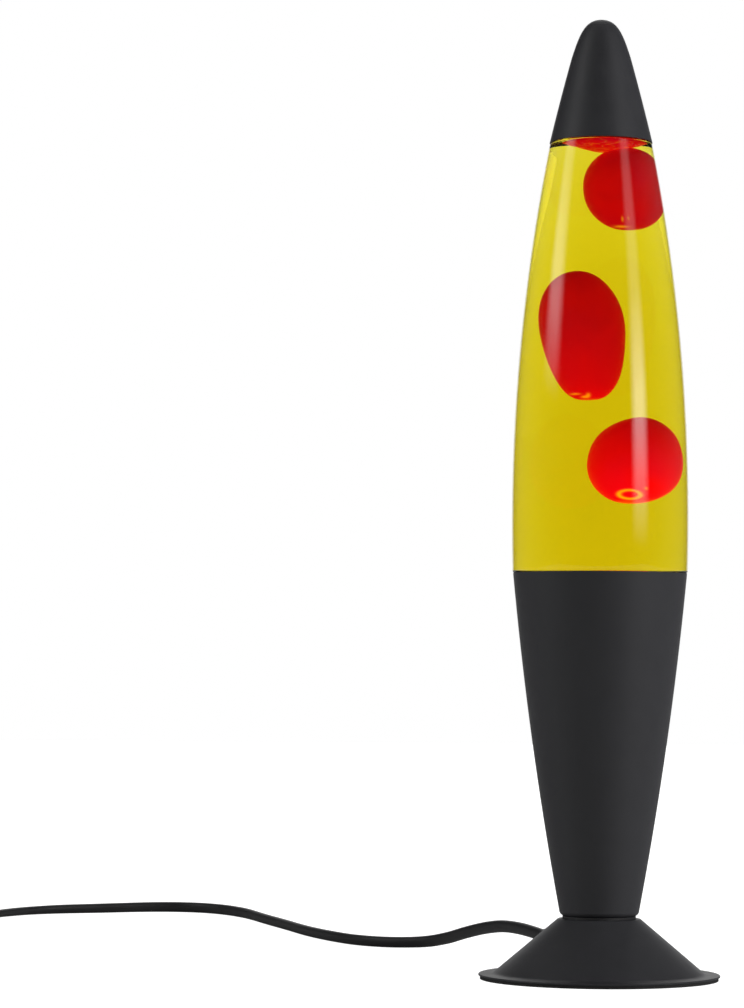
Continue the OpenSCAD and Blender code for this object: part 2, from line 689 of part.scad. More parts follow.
module switch_cover() {
    color("#202022") translate(switch_at) difference() {
        union() {
            translate([0, 0, switch_split]) linear_extrude(switch_h - switch_split - 1.6) switch_outline(0);
            translate([0, 0, switch_h - 1.6]) linear_extrude(1.6) switch_outline(0.9);
        }
        translate([0, 0, switch_split - 1]) linear_extrude(switch_h - switch_split - 0.8)
            switch_outline(1.8);
        translate([-5.7, -10.4, 0]) cube([11.4, 20.8, 30]);
    }
}

module rocker_shape() {
    rotate([90, 0, 90]) linear_extrude(10.6, center = true) difference() {
        polygon(concat(
            arc([0, 0], 5, 205, 335, 14),
            [[9.4, 3.2], [9.6, 5.4], [0, 4.8], [-9.6, 5.4], [-9.4, 3.2]]));
        circle(r = 1.1);
    }
}

module switch_rocker() {
    color("#2b2b2d") translate(switch_at + [0, 0, rocker_z]) rotate([rocker_tilt, 0, 0]) rocker_shape();
}

module switch_contacts() {
    color(brass) translate(switch_at) {
        translate([0, 0, rocker_z]) rotate([0, 90, 0]) cylinder(r = 0.9, h = 18, center = true);
        for (s = [-1, 1]) translate([-3, s * 12 - 4, 1.8]) cube([6, 8, 0.6]);
        for (s = [-1, 1]) translate([-3, s * 14 - 1, 2.4]) cube([6, 2, 2.4]);
    }
}

module switch_screws() {
    color(steel) translate(switch_at) for (s = [-1, 1]) translate([s * 9, 0, 0.3]) cylinder(r = 1, h = 7);
}

// Plug, along -Y, lying on its flat side
plug_w = 35.3;
plug_t = 13.7;
module plug_slab(w, t, at, h) {
    translate([0, at, 0]) rotate([90, 0, 0]) linear_extrude(h) {
        square([w - t, t], center = true);
        for (s = [-1, 1]) translate([s * (w - t) / 2, 0]) circle(d = t, $fn = 32);
    }
}

module plug_body() {
    color("#202022") translate(plug_at) difference() {
        union() {
            hull() {
                plug_slab(15, 11, 0, 1);
                plug_slab(22, 11.6, -8, 1);
                plug_slab(plug_w, plug_t, -17, 1);
            }
            plug_slab(plug_w, plug_t, -17.5, plug_l - 17.5);
            rotate([-90, 0, 0]) cylinder(r1 = 4.6, r2 = 3.6, h = 12);
        }
        for (s = [-1, 1]) translate([s * pin_gap / 2, pin_in - plug_l, 0]) rotate([90, 0, 0])
            cylinder(r = sleeve_r + 0.05, h = 12);
        translate([0, 14, 0]) rotate([90, 0, 0]) slot_bar(lead_w + 0.1, lead_t + 0.1, 10);
    }
}

module plug_pins() {
    sleeved = pin_in + pin_l - pin_bare;
    color(nickel) translate(plug_at) for (s = [-1, 1]) translate([s * pin_gap / 2, pin_in - plug_l, 0])
        rotate([90, 0, 0]) {
            cylinder(r = core_r, h = sleeved);
            translate([0, 0, sleeved]) cylinder(r = pin_r, h = pin_bare - 1);
            translate([0, 0, sleeved + pin_bare - 1]) cylinder(r1 = pin_r, r2 = 1.2, h = 1);
        }
}

module pin_sleeves() {
    color("#1a1a1a") translate(plug_at) for (s = [-1, 1]) translate([s * pin_gap / 2, pin_in - plug_l, 0])
        rotate([90, 0, 0]) difference() {
            cylinder(r = sleeve_r, h = pin_in + pin_l - pin_bare);
            translate([0, 0, -1]) cylinder(r = core_r + 0.05, h = tall);
        }
}

foot();
foot_pad();
bottom_cover();
cover_screws();
mounting_bracket();
threaded_pipe();
pipe_nuts();
pipe_washers();
neck_spacer();
body_cone();
holder_cap();
holder_skirt();
holder_core();
holder_shell();
holder_contact();
terminal_screws();
bulb_glass();
bulb_reflector();
bulb_shell();
bulb_insulator();
bulb_tip();
bulb_stem();
bulb_filament();
bottle_glass();
lamp_liquid();
wax_pool();
wax_coil();
wax_slick();
wax_blob_low();
wax_blob_mid();
wax_blob_high();
crown_cap();
crown_liner();
top_cap();
cord_bushing();
cord_stop();
stop_screws();
inner_cord();
lead_wires();
cord_lead();
switch_base();
switch_cover();
switch_rocker();
switch_contacts();
switch_screws();
cord_mid();
cord_coil();
coil_tie();
cord_tail();
plug_body();
plug_pins();
pin_sleeves();
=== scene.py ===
# Lava lamp: the pieces that show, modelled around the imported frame, in metres.
# Each piece has a dictionary of its own values beside its code, with lengths in mm and angles in degrees.
import math
import bmesh
import bpy
from mathutils import Matrix, Vector, noise


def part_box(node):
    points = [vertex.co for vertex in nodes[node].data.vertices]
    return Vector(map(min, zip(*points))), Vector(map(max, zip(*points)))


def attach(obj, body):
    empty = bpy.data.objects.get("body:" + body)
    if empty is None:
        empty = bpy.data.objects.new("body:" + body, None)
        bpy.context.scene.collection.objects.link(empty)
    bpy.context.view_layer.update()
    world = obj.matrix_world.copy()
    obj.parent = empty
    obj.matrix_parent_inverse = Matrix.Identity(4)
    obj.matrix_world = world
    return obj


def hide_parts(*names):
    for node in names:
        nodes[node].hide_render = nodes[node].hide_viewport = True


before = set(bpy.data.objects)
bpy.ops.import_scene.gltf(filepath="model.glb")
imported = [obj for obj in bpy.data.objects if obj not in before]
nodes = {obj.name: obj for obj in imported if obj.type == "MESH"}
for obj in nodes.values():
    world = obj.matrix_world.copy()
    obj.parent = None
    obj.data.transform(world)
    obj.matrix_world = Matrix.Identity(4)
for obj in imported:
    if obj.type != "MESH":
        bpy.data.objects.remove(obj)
bpy.context.view_layer.update()
mm = 0.001
print("frame loaded,", len(nodes), "nodes")


# Small helpers

def linear(code):                                  # sRGB hex to linear colour
    parts = [int(code[i:i + 2], 16) / 255 for i in (1, 3, 5)]
    return [c / 12.92 if c <= 0.04045 else ((c + 0.055) / 1.055) ** 2.4 for c in parts] + [1]


def addNode(tree, kind, inputs=None, **settings):  # inputs are values, or sockets to link from
    node = tree.nodes.new(kind)
    for name, value in settings.items():
        setattr(node, name, value)
    for name, value in (inputs or {}).items():
        if isinstance(value, bpy.types.NodeSocket):
            tree.links.new(value, node.inputs[name])
        else:
            node.inputs[name].default_value = value
    return node


def newMaterial(name, **sockets):                  # a Principled material and its object coordinates
    material = bpy.data.materials.new(name)
    material.use_nodes = True
    tree = material.node_tree
    tree.nodes.clear()
    shader = addNode(tree, "ShaderNodeBsdfPrincipled",
                     {key.replace("_", " "): value for key, value in sockets.items()})
    addNode(tree, "ShaderNodeOutputMaterial", {"Surface": shader.outputs["BSDF"]})
    place = addNode(tree, "ShaderNodeTexCoord").outputs["Object"]
    return material, tree, shader, place


def finishMaterial(name, dark, light, metallic, roughness, ior, grain, depth):   # clouded colour, fine grain
    material, tree, shader, place = newMaterial(name, Metallic=metallic)
    if ior:
        shader.inputs["IOR"].default_value = ior
    speck = addNode(tree, "ShaderNodeTexNoise", {"Vector": place, "Scale": 1 / (grain * mm), "Detail": 3})
    cloud = addNode(tree, "ShaderNodeTexNoise", {"Vector": place, "Scale": 0.12 / (grain * mm), "Detail": 2})
    tint = addNode(tree, "ShaderNodeMix", {"Factor": cloud.outputs["Fac"], 6: linear(dark),
                                           7: linear(light)}, data_type="RGBA")
    tree.links.new(tint.outputs[2], shader.inputs["Base Color"])
    rough = addNode(tree, "ShaderNodeMapRange", {"Value": cloud.outputs["Fac"], "To Min": roughness * 0.85,
                                                 "To Max": min(1, roughness * 1.15)})
    tree.links.new(rough.outputs["Result"], shader.inputs["Roughness"])
    bump = addNode(tree, "ShaderNodeBump", {"Height": speck.outputs["Fac"], "Strength": 0.6,
                                            "Distance": depth * mm})
    tree.links.new(bump.outputs["Normal"], shader.inputs["Normal"])
    return material


def arcPoints(cx, cy, radius, start, end, steps):
    return [(cx + radius * math.cos(math.radians(a)), cy + radius * math.sin(math.radians(a)))
            for a in (start + (end - start) * i / steps for i in range(steps + 1))]


def bezierPoints(a, b, c, d, steps):
    points = []
    for i in range(steps + 1):
        t = i / steps
        s = 1 - t
        points.append(tuple(s**3 * p + 3 * s * s * t * q + 3 * s * t * t * r + t**3 * u
                            for p, q, r, u in zip(a, b, c, d)))
    return points


def spunMesh(profile, segments):                   # profile is radius and height in mm, bottom to top outside
    bm = bmesh.new()
    verts = [bm.verts.new((r * mm, 0, z * mm)) for r, z in profile]
    edges = [bm.edges.new(pair) for pair in zip(verts, verts[1:])]
    if profile[0][0] > 0 or profile[-1][0] > 0:
        edges.append(bm.edges.new((verts[-1], verts[0])))
    bmesh.ops.spin(bm, geom=verts + edges, cent=(0, 0, 0), axis=(0, 0, 1), angle=math.tau,
                   steps=segments, use_merge=True)
    bmesh.ops.remove_doubles(bm, verts=bm.verts, dist=1e-6)
    bmesh.ops.recalc_face_normals(bm, faces=bm.faces)
    return bm


def roundedPlate(wide, long, corner, low, high):   # an upright slab with round corners, about the origin
    bm = bmesh.new()
    flat = bmesh.ops.create_grid(bm, x_segments=1, y_segments=1, size=0.5)["verts"]
    bmesh.ops.scale(bm, verts=flat, vec=(wide * mm, long * mm, 1))
    bmesh.ops.translate(bm, verts=flat, vec=(0, 0, low * mm))
    bmesh.ops.bevel(bm, geom=flat, offset=corner * mm, affect="VERTICES", segments=8, profile=0.5,
                    material=-1)
    raised = bmesh.ops.extrude_face_region(bm, geom=bm.faces[:])["geom"]
    bmesh.ops.translate(bm, verts=[g for g in raised if isinstance(g, bmesh.types.BMVert)],
                        vec=(0, 0, (high - low) * mm))
    bmesh.ops.holes_fill(bm, edges=bm.edges, sides=0)
    bmesh.ops.recalc_face_normals(bm, faces=bm.faces)
    return bm


def bevelSharp(bm, radius, steps, chosen=lambda edge: True):   # rounds edges that turn by over 30 degrees
    edges = [e for e in bm.edges if e.is_manifold and e.calc_face_angle() > math.radians(30) and chosen(e)]
    bmesh.ops.bevel(bm, geom=edges, offset=radius * mm, affect="EDGES", segments=steps, profile=0.5,
                    material=-1)


def cutAway(bm, cutter):                           # takes one closed shape out of another
    shapes = []
    for shape in (bm, cutter):
        mesh = bpy.data.meshes.new("shape")
        shape.to_mesh(mesh)
        shape.free()
        shapes.append(bpy.data.objects.new("shape", mesh))
        bpy.context.collection.objects.link(shapes[-1])
    cut = shapes[0].modifiers.new("cut", "BOOLEAN")
    cut.object, cut.solver = shapes[1], "EXACT"
    bpy.context.view_layer.update()
    graph = bpy.context.evaluated_depsgraph_get()
    result = bpy.data.meshes.new_from_object(shapes[0].evaluated_get(graph))
    left = bmesh.new()
    left.from_mesh(result)
    bpy.data.meshes.remove(result)
    for shape in shapes:
        mesh = shape.data
        bpy.data.objects.remove(shape)
        bpy.data.meshes.remove(mesh)
    return left


def merged(*parts):                                # several shapes in one mesh
    bm = bmesh.new()
    for part in parts:
        mesh = bpy.data.meshes.new("part")
        part.to_mesh(mesh)
        part.free()
        bm.from_mesh(mesh)
        bpy.data.meshes.remove(mesh)
    return bm


def lofted(stations, sides):                       # bridges flat-oval rings: place along y, width, thickness
    bm = bmesh.new()
    rings = []
    for along, wide, thick in stations:
        ring = bmesh.ops.create_circle(bm, segments=sides, radius=1)["verts"]
        for vert in ring:
            x, z = vert.co.x, vert.co.y
            side = 0 if abs(x) < 1e-4 else math.copysign((wide - thick) / 2, x)
            vert.co = ((side + x * thick / 2) * mm, along * mm, z * thick / 2 * mm)
        rings.append(list({edge for vert in ring for edge in vert.link_edges}))
    for one, other in zip(rings, rings[1:]):
        bmesh.ops.bridge_loops(bm, edges=one + other)
    for end in (rings[0], rings[-1]):
        bmesh.ops.contextual_create(bm, geom=end)
    bmesh.ops.recalc_face_normals(bm, faces=bm.faces)
    return bm


def addPiece(name, bm, body, materials, replaced=(), sharp=40, flat=False):
    mesh = bpy.data.meshes.new(name)
    bm.to_mesh(mesh)
    bm.free()
    mesh.shade_smooth()
    mesh.set_sharp_from_angle(angle=math.radians(sharp))
    for material in materials:
        mesh.materials.append(material)
    piece = bpy.data.objects.new(name, mesh)
    bpy.context.collection.objects.link(piece)
    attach(piece, body)
    if replaced:
        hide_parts(*replaced)
    if flat:                                       # keeps the broad faces flat beside their round edges
        piece.modifiers.new("faceNormals", "WEIGHTED_NORMAL").keep_sharp = True
    return piece


# Camera
cameraValues = {"place": (0, -1.5, 0.1231), "left": 3.632, "up": 2.802, "roll": 0.317, "lens": 128.52}


def makeCamera(v):
    data = bpy.data.cameras.new("camera")
    data.lens = v["lens"]
    data.sensor_width = 36
    data.clip_start, data.clip_end = 0.05, 50
    eye = bpy.data.objects.new("camera", data)
    turn = (Matrix.Rotation(math.radians(v["left"]), 4, "Z")
            @ Matrix.Rotation(math.radians(90 + v["up"]), 4, "X")
            @ Matrix.Rotation(math.radians(v["roll"]), 4, "Z"))
    eye.matrix_world = Matrix.Translation(v["place"]) @ turn
    bpy.context.collection.objects.link(eye)
    bpy.context.scene.camera = eye


makeCamera(cameraValues)
bpy.context.scene.view_settings.view_transform = "Standard"
print("camera placed")


# Mains lead: a flat two-core sheath, from the foot through the switch to a coil and the plug.
# coilRadii pairs the turns done with the radius there: in over two turns, up a layer, out over two.
leadValues = {
    "width": 5.4, "thick": 3.4, "stepMm": 4,
    "exit": (-23.1, 49.5, 13.9),
    # x, y, z and the roll of the wide side, in mm and degrees
    "toSwitch": [
        (-23.2, 49.8, 14, 85), (-28.5, 61.5, 14.9, 85), (-35, 76, 15.5, 85), (-42.5, 92, 15.2, 86),
        (-51, 108, 13.2, 86), (-60, 124, 10, 84), (-69, 141, 6.3, 78), (-80, 154, 3.6, 64),
        (-96, 163, 2.6, 55), (-112, 176, 2.5, 58), (-126, 199, 2.6, 62), (-140, 232, 2.6, 64),
        (-153, 271, 2.6, 66), (-167, 312, 2.6, 68), (-179, 348, 2.7, 76), (-187, 367, 2.7, 78),
        (-197, 384, 2.7, 80), (-209, 396, 2.7, 78), (-223, 401, 2.7, 74), (-238, 398.5, 2.7, 66),
        (-253, 392, 2.6, 58), (-268, 386, 2.4, 52), (-283, 379, 2.3, 44), (-296, 368, 2.1, 36),
        (-305, 352, 2.1, 28), (-312, 334, 2, 22), (-319, 316, 2.3, 16), (-326, 300, 3.6, 8),
        (-330, 285.5, 4.8, 0)],
    "toCoil": [(-330, 254, 4.8, 0), (-330, 222.5, 4.8, 0), (-330, 208, 2.8, 30),
               (-330, 188, 2.8, 60), (-330, 168, 2.9, 84), (-330, 155, 3.2, 90)],
    "coilCentre": (-362.3, 148), "turns": 4, "turnSteps": 24, "lowZ": 3.3, "highZ": 8.9,
    "coilRadii": [(0, 32.4), (0.15, 31.95), (1.15, 28.55), (1.85, 25.1), (2.15, 25.1), (2.85, 28.55),
                  (3.85, 31.95), (4, 32.4)],
    "toPlug": [(-329.8, 142, 8.9, 90), (-329.7, 133, 8.5, 86), (-330, 120, 6.2, 80), (-330, 101, 3.4, 60),
               (-330, 79, 2.6, 40), (-330, 61, 3.6, 18), (-330, 47.4, 6.8, 0), (-330, 39, 6.85, 0)],
}


def between(table, t):                             # straight lines between a table's points
    for (t0, v0), (t1, v1) in zip(table, table[1:]):
        if t <= t1:
            return v0 + (v1 - v0) * (t - t0) / (t1 - t0)
    return table[-1][1]


def coilPoints(v):
    points = []
    for i in range(v["turns"] * v["turnSteps"] + 1):
        t = i / v["turnSteps"]
        radius = between(v["coilRadii"], t)
        rise = min(max((t - 1.85) / 0.3, 0), 1)
        height = v["lowZ"] + (v["highZ"] - v["lowZ"]) * rise * rise * (3 - 2 * rise)
        angle = -math.tau * t
        points.append((v["coilCentre"][0] + radius * math.cos(angle),
                       v["coilCentre"][1] + radius * math.sin(angle), height, 90))
    return points


def smoothLine(points, stepMm):                    # a smooth curve through the points, rolls included
    points = [Vector(p) for p in points]
    ends = [2 * points[0] - points[1], *points, 2 * points[-1] - points[-2]]
    line = []
    for a, b, c, d in zip(ends, ends[1:], ends[2:], ends[3:]):
        steps = max(1, round((c - b).to_3d().length / stepMm))
        for k in range(steps):
            t = k / steps
            line.append(b + (c - a) * t / 2 + (2 * a - 5 * b + 4 * c - d) * t * t / 2
                        + (3 * b - a - 3 * c + d) * t**3 / 2)
    return line + [points[-1]]


def flatTube(name, line, width, thick):            # sweeps a flat section along the line, with its rolls
    rim = bpy.data.curves.new(name + "Section", "CURVE")
    outline = (arcPoints((width - thick) / 2, 0, thick / 2, -90, 90, 8)
               + arcPoints((thick - width) / 2, 0, thick / 2, 90, 270, 8))
    spline = rim.splines.new("POLY")
    spline.points.add(len(outline) - 1)
    spline.use_cyclic_u = True
    for point, (x, y) in zip(spline.points, outline):
        point.co = (x * mm, y * mm, 0, 1)
    section = bpy.data.objects.new(name + "Section", rim)
    bpy.context.collection.objects.link(section)
    curve = bpy.data.curves.new(name, "CURVE")
    curve.dimensions = "3D"
    curve.twist_mode = "Z_UP"
    curve.bevel_mode = "OBJECT"
    curve.bevel_object = section
    curve.use_fill_caps = True
    spline = curve.splines.new("POLY")
    spline.points.add(len(line) - 1)
    for point, p in zip(spline.points, line):
        point.co = (p[0] * mm, p[1] * mm, p[2] * mm, 1)
        point.tilt = math.radians(p[3])
    guide = bpy.data.objects.new(name, curve)
    bpy.context.collection.objects.link(guide)
    bpy.context.view_layer.update()
    graph = bpy.context.evaluated_depsgraph_get()
    swept = bpy.data.meshes.new_from_object(guide.evaluated_get(graph))
    bm = bmesh.new()
    bm.from_mesh(swept)
    bmesh.ops.remove_doubles(bm, verts=bm.verts, dist=1e-6)
    bmesh.ops.recalc_face_normals(bm, faces=bm.faces)
    for thing in (guide, section):
        bpy.data.objects.remove(thing)
    for thing in (curve, rim):
        bpy.data.curves.remove(thing)
    bpy.data.meshes.remove(swept)
    return bm


def leadPvc():                                     # extruded soft PVC: matt, faintly drawn along its length
    material, tree, shader, place = newMaterial("extrudedPvcSheath", Roughness=0.52, IOR=1.53)
    grain = addNode(tree, "ShaderNodeTexNoise", {"Vector": place, "Scale": 900, "Detail": 3})
    cloud = addNode(tree, "ShaderNodeTexNoise", {"Vector": place, "Scale": 60, "Detail": 2})
    ramp = addNode(tree, "ShaderNodeMix", {"Factor": cloud.outputs["Fac"], 6: linear("#0e0e0f"),
                                           7: linear("#151516")}, data_type="RGBA")
    tree.links.new(ramp.outputs[2], shader.inputs["Base Color"])
    bump = addNode(tree, "ShaderNodeBump", {"Height": grain.outputs["Fac"], "Strength": 0.25,
                                            "Distance": 0.06 * mm})
    tree.links.new(bump.outputs["Normal"], shader.inputs["Normal"])
    return material


pvc = leadPvc()
leadLine = smoothLine(leadValues["toSwitch"] + leadValues["toCoil"] + coilPoints(leadValues)
                      + leadValues["toPlug"], leadValues["stepMm"])
leadPath = [(p[0] * mm, p[1] * mm, p[2] * mm) for p in leadLine]
leadLength = sum((Vector(b) - Vector(a)).length for a, b in zip(leadPath, leadPath[1:]))
leadMesh = flatTube("mainsLead", leadLine, leadValues["width"], leadValues["thick"])
mainsLead = addPiece("mainsLead", leadMesh, "base", [pvc],
                     ("cord_lead", "cord_mid", "cord_coil", "cord_tail"))
print("lead laid,", round(leadLength, 3), "m")


# Bottle: thick clear glass with a long bulging side, a heel hidden in the base and a crown neck
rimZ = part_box("body_cone")[1].z / mm
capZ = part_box("top_cap")[0].z / mm
bottleLow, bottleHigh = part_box("bottle_glass")
bottleValues = {
    "segments": 128, "widest": bottleHigh.x / mm, "wideZ": rimZ + 23, "sideArc": 805, "wall": 2.4,
    "bottomZ": bottleLow.z / mm, "crownZ": bottleHigh.z / mm, "heel": 30.6, "mouth": 8.4,
    "seatGap": 0.1, "seatStep": 2.2, "shoulder": 1,
}


def glassRadius(z):
    v = bottleValues
    return v["widest"] - v["sideArc"] + math.sqrt(v["sideArc"]**2 - (z - v["wideZ"])**2)


def sidePoints(inset, low, high, steps):
    return [(glassRadius(z) - inset, z) for z in (low + (high - low) * i / steps for i in range(steps + 1))]


def bottleOutside(v):
    shoulder = rimZ + v["seatGap"]
    seat = glassRadius(shoulder) - v["seatStep"]
    low, high = shoulder + v["shoulder"], capZ - 1.2
    return [
        (0, v["bottomZ"] + 1.6),
        *bezierPoints((10, v["bottomZ"] + 1.4), (16, v["bottomZ"] + 1.2), (18, v["bottomZ"]),
                      (22, v["bottomZ"]), 8),
        *arcPoints(v["heel"] - 4.4, v["bottomZ"] + 4.2, 4.2, -90, 0, 10),
        (seat - 0.3, rimZ - 4),
        *arcPoints(seat + 0.4, shoulder - 0.7, 0.7, 180, 90, 5),
        *arcPoints(glassRadius(low) - v["shoulder"], low, v["shoulder"], -80, 0, 8),
        *sidePoints(0, low + 4, high, 60),
        *arcPoints(glassRadius(high) - 0.8, high, 0.8, 10, 90, 6),
        (19.5, high + 0.8),
        *bezierPoints((19.3, capZ + 1.4), (18.9, capZ + 3.4), (13.4, capZ + 2.6), (12.4, capZ + 6), 10),
        (12.4, v["crownZ"] - 5.4), (13.3, v["crownZ"] - 5), (13.3, v["crownZ"] - 3.4),
        (12.9, v["crownZ"] - 2.6),
        *arcPoints(11.4, v["crownZ"] - 2.1, 1.5, 0, 90, 6)]


def bottleInside(v):                               # from the mouth down to the middle of the floor
    seat = glassRadius(rimZ + v["seatGap"]) - v["seatStep"]
    low = rimZ + v["seatGap"] + v["shoulder"] + 4
    floor = v["bottomZ"] + 3.6
    return [
        *arcPoints(9.4, v["crownZ"] - 1.6, 1, 90, 180, 5),
        *bezierPoints((v["mouth"], capZ + 6), (v["mouth"], capZ + 3.5), (11, capZ + 1.8),
                      (14, capZ + 1.4), 8),
        *bezierPoints((14, capZ + 1.4), (17, capZ + 1), (18.6, capZ - 0.6),
                      (glassRadius(capZ - 5) - v["wall"], capZ - 5), 12)[1:],
        *sidePoints(v["wall"], capZ - 8, low, 56),
        (seat - v["wall"] + 0.4, rimZ - 3),
        *arcPoints(v["heel"] - 7.4, floor + 5, 5, 0, -90, 10),
        (0, floor + 0.6)]


def clearGlass(name, **sockets):                   # soda-lime glass: nearly colourless, faintly uneven
    material, tree, shader, place = newMaterial(name, Roughness=0.0, IOR=1.52, Transmission_Weight=1.0,
                                                **sockets)
    wave = addNode(tree, "ShaderNodeTexNoise", {"Vector": place, "Scale": 70, "Detail": 1})
    tint = addNode(tree, "ShaderNodeMix", {"Factor": wave.outputs["Fac"], 6: linear("#fbfdfb"),
                                           7: linear("#ffffff")}, data_type="RGBA")
    tree.links.new(tint.outputs[2], shader.inputs["Base Color"])
    bump = addNode(tree, "ShaderNodeBump", {"Height": wave.outputs["Fac"], "Strength": 0.1,
                                            "Distance": 0.05 * mm})
    tree.links.new(bump.outputs["Normal"], shader.inputs["Normal"])
    return material


def makeBottle(v):
    outside, inside = bottleOutside(v), bottleInside(v)
    bm = spunMesh(outside + inside, v["segments"])
    bm.faces.ensure_lookup_table()
    for face in bm.faces:                          # the wall that the liquid wets has a finish of its own
        middle = face.calc_center_median()
        away = Vector((middle.x, middle.y, 0))
        inward = face.normal.dot(away) < 0 if away.length > 12 * mm else face.normal.z > 0
        face.material_index = int(inward and middle.z < (capZ + 2) * mm)
    dry = clearGlass("sodaLimeGlass")
    wetted = clearGlass("wettedGlassWall", Specular_IOR_Level=0.0, Specular_Tint=(0, 0, 0, 1))
    return addPiece("glassBottle", bm, "bottle", [dry, wetted], ("bottle_glass",))


makeBottle(bottleValues)

# Liquid: dyed water that fills the bottle to just above the cap's rim, and meets the glass all round
liquidValues = {
    "overlap": 0.1, "surfaceZ": capZ + 0.9, "meniscus": 0.3, "colour": (0.941, 0.897, 0.0), "density": 100,
    "ior": 1.38,
}


def liquidProfile(v):
    b = bottleValues
    seat = glassRadius(rimZ + b["seatGap"]) - b["seatStep"]
    low = rimZ + b["seatGap"] + b["shoulder"] + 4
    floor = b["bottomZ"] + 3.6
    over = v["overlap"]
    neck = bezierPoints((glassRadius(capZ - 5) - b["wall"], capZ - 5), (18.6, capZ - 0.6), (17, capZ + 1),
                        (14, capZ + 1.4), 24)
    neck = [p for p in neck if p[1] < v["surfaceZ"] + v["meniscus"]]
    return [
        (0, floor + 0.6 - over),
        *arcPoints(b["heel"] - 7.4, floor + 5, 5 + over, -90, 0, 10),
        (seat - b["wall"] + 0.4 + over, rimZ - 3),
        *sidePoints(b["wall"] - over, low, capZ - 8, 56),
        *[(r + over, z) for r, z in neck],
        *[(neck[-1][0] - d, v["surfaceZ"] + v["meniscus"] * math.exp(-d / 0.8))
          for d in (0.4, 0.8, 1.4, 2.2, 3.4)],
        (0, v["surfaceZ"])]


def dyedWater(v):                                  # clear yellow dye: deeper the further light goes
    material, tree, shader, place = newMaterial("dyedYellowWater", Roughness=0.0, IOR=v["ior"],
                                                Transmission_Weight=1.0, Specular_IOR_Level=0.0,
                                                Specular_Tint=(0, 0, 0, 1))
    cloud = addNode(tree, "ShaderNodeTexNoise", {"Vector": place, "Scale": 25, "Detail": 1})
    tint = addNode(tree, "ShaderNodeMix", {"Factor": cloud.outputs["Fac"], 6: linear("#fffef6"),
                                           7: linear("#ffffff")}, data_type="RGBA")
    tree.links.new(tint.outputs[2], shader.inputs["Base Color"])
    volume = addNode(tree, "ShaderNodeVolumeAbsorption", {"Color": (*v["colour"], 1),
                                                          "Density": v["density"]})
    output = next(n for n in tree.nodes if n.type == "OUTPUT_MATERIAL")
    tree.links.new(volume.outputs["Volume"], output.inputs["Volume"])
    return material


def makeLiquid(v):
    bm = spunMesh(liquidProfile(v), bottleValues["segments"])
    return addPiece("yellowWater", bm, "bottle", [dyedWater(v)], ("lamp_liquid",))


makeLiquid(liquidValues)
print("bottle filled")


# Wax: three drops that float, a layer under the surface and a pool in the heel
waxValues = {
    "detail": 6,
    # the node each drop stands for, how top-heavy, blunt, leaning and uneven it is, and its marks of painted
    # glow and highlight:
    # x, z, half width, half height and depth, then 1 for a ring or 0 for a fleck
    "drops": {
        "waxDropLow": {
            "node": "wax_blob_low", "body": "blob_low", "heavy": -0.05, "blunt": 1, "lean": 0.05,
            "uneven": 0.5, "seed": 3,
            "marks": [(9.7, 200, 3.6, 1.7, 0.5, 1), (15.5, 202.5, 0.5, 0.5, 0, 0)]},
        "waxDropMid": {
            "node": "wax_blob_mid", "body": "blob_mid", "heavy": 0.16, "blunt": 0.68, "lean": -0.085,
            "uneven": 0.4, "seed": 11,
            "marks": [(-3.9, 240.7, 0.7, 0.9, 0, 0), (-4.9, 240.1, 1.1, 0.5, 0, 0),
                      (-8, 241.3, 1.6, 0.35, 0, 0)]},
        "waxDropHigh": {
            "node": "wax_blob_high", "body": "blob_high", "heavy": 0.04, "blunt": 0.95, "lean": 0,
            "uneven": 0.4, "seed": 17,
            "marks": [(6.6, 310.6, 2.6, 0.5, 0, 0), (7.3, 313.6, 0.35, 1.1, 0, 0),
                      (9.4, 314, 0.3, 0.8, 0, 0)]},
    },
    # red and crimson are the wax's own colour; the orange ones are painted glow, under the drops and in their
    # marks
    "dark": "#c4000c", "bright": "#ff0806", "red": "#ff0008", "crimson": "#f40030", "paintedUnderGlow": "#ff5a08",
    "paintedGlowMark": "#ffa41c", "paintedGlowMarkStrength": 0.35,
    "lowZ": 200, "highZ": 270, "lowGlow": 0.8, "highGlow": 0.28,   # the painted glow fades with height
}


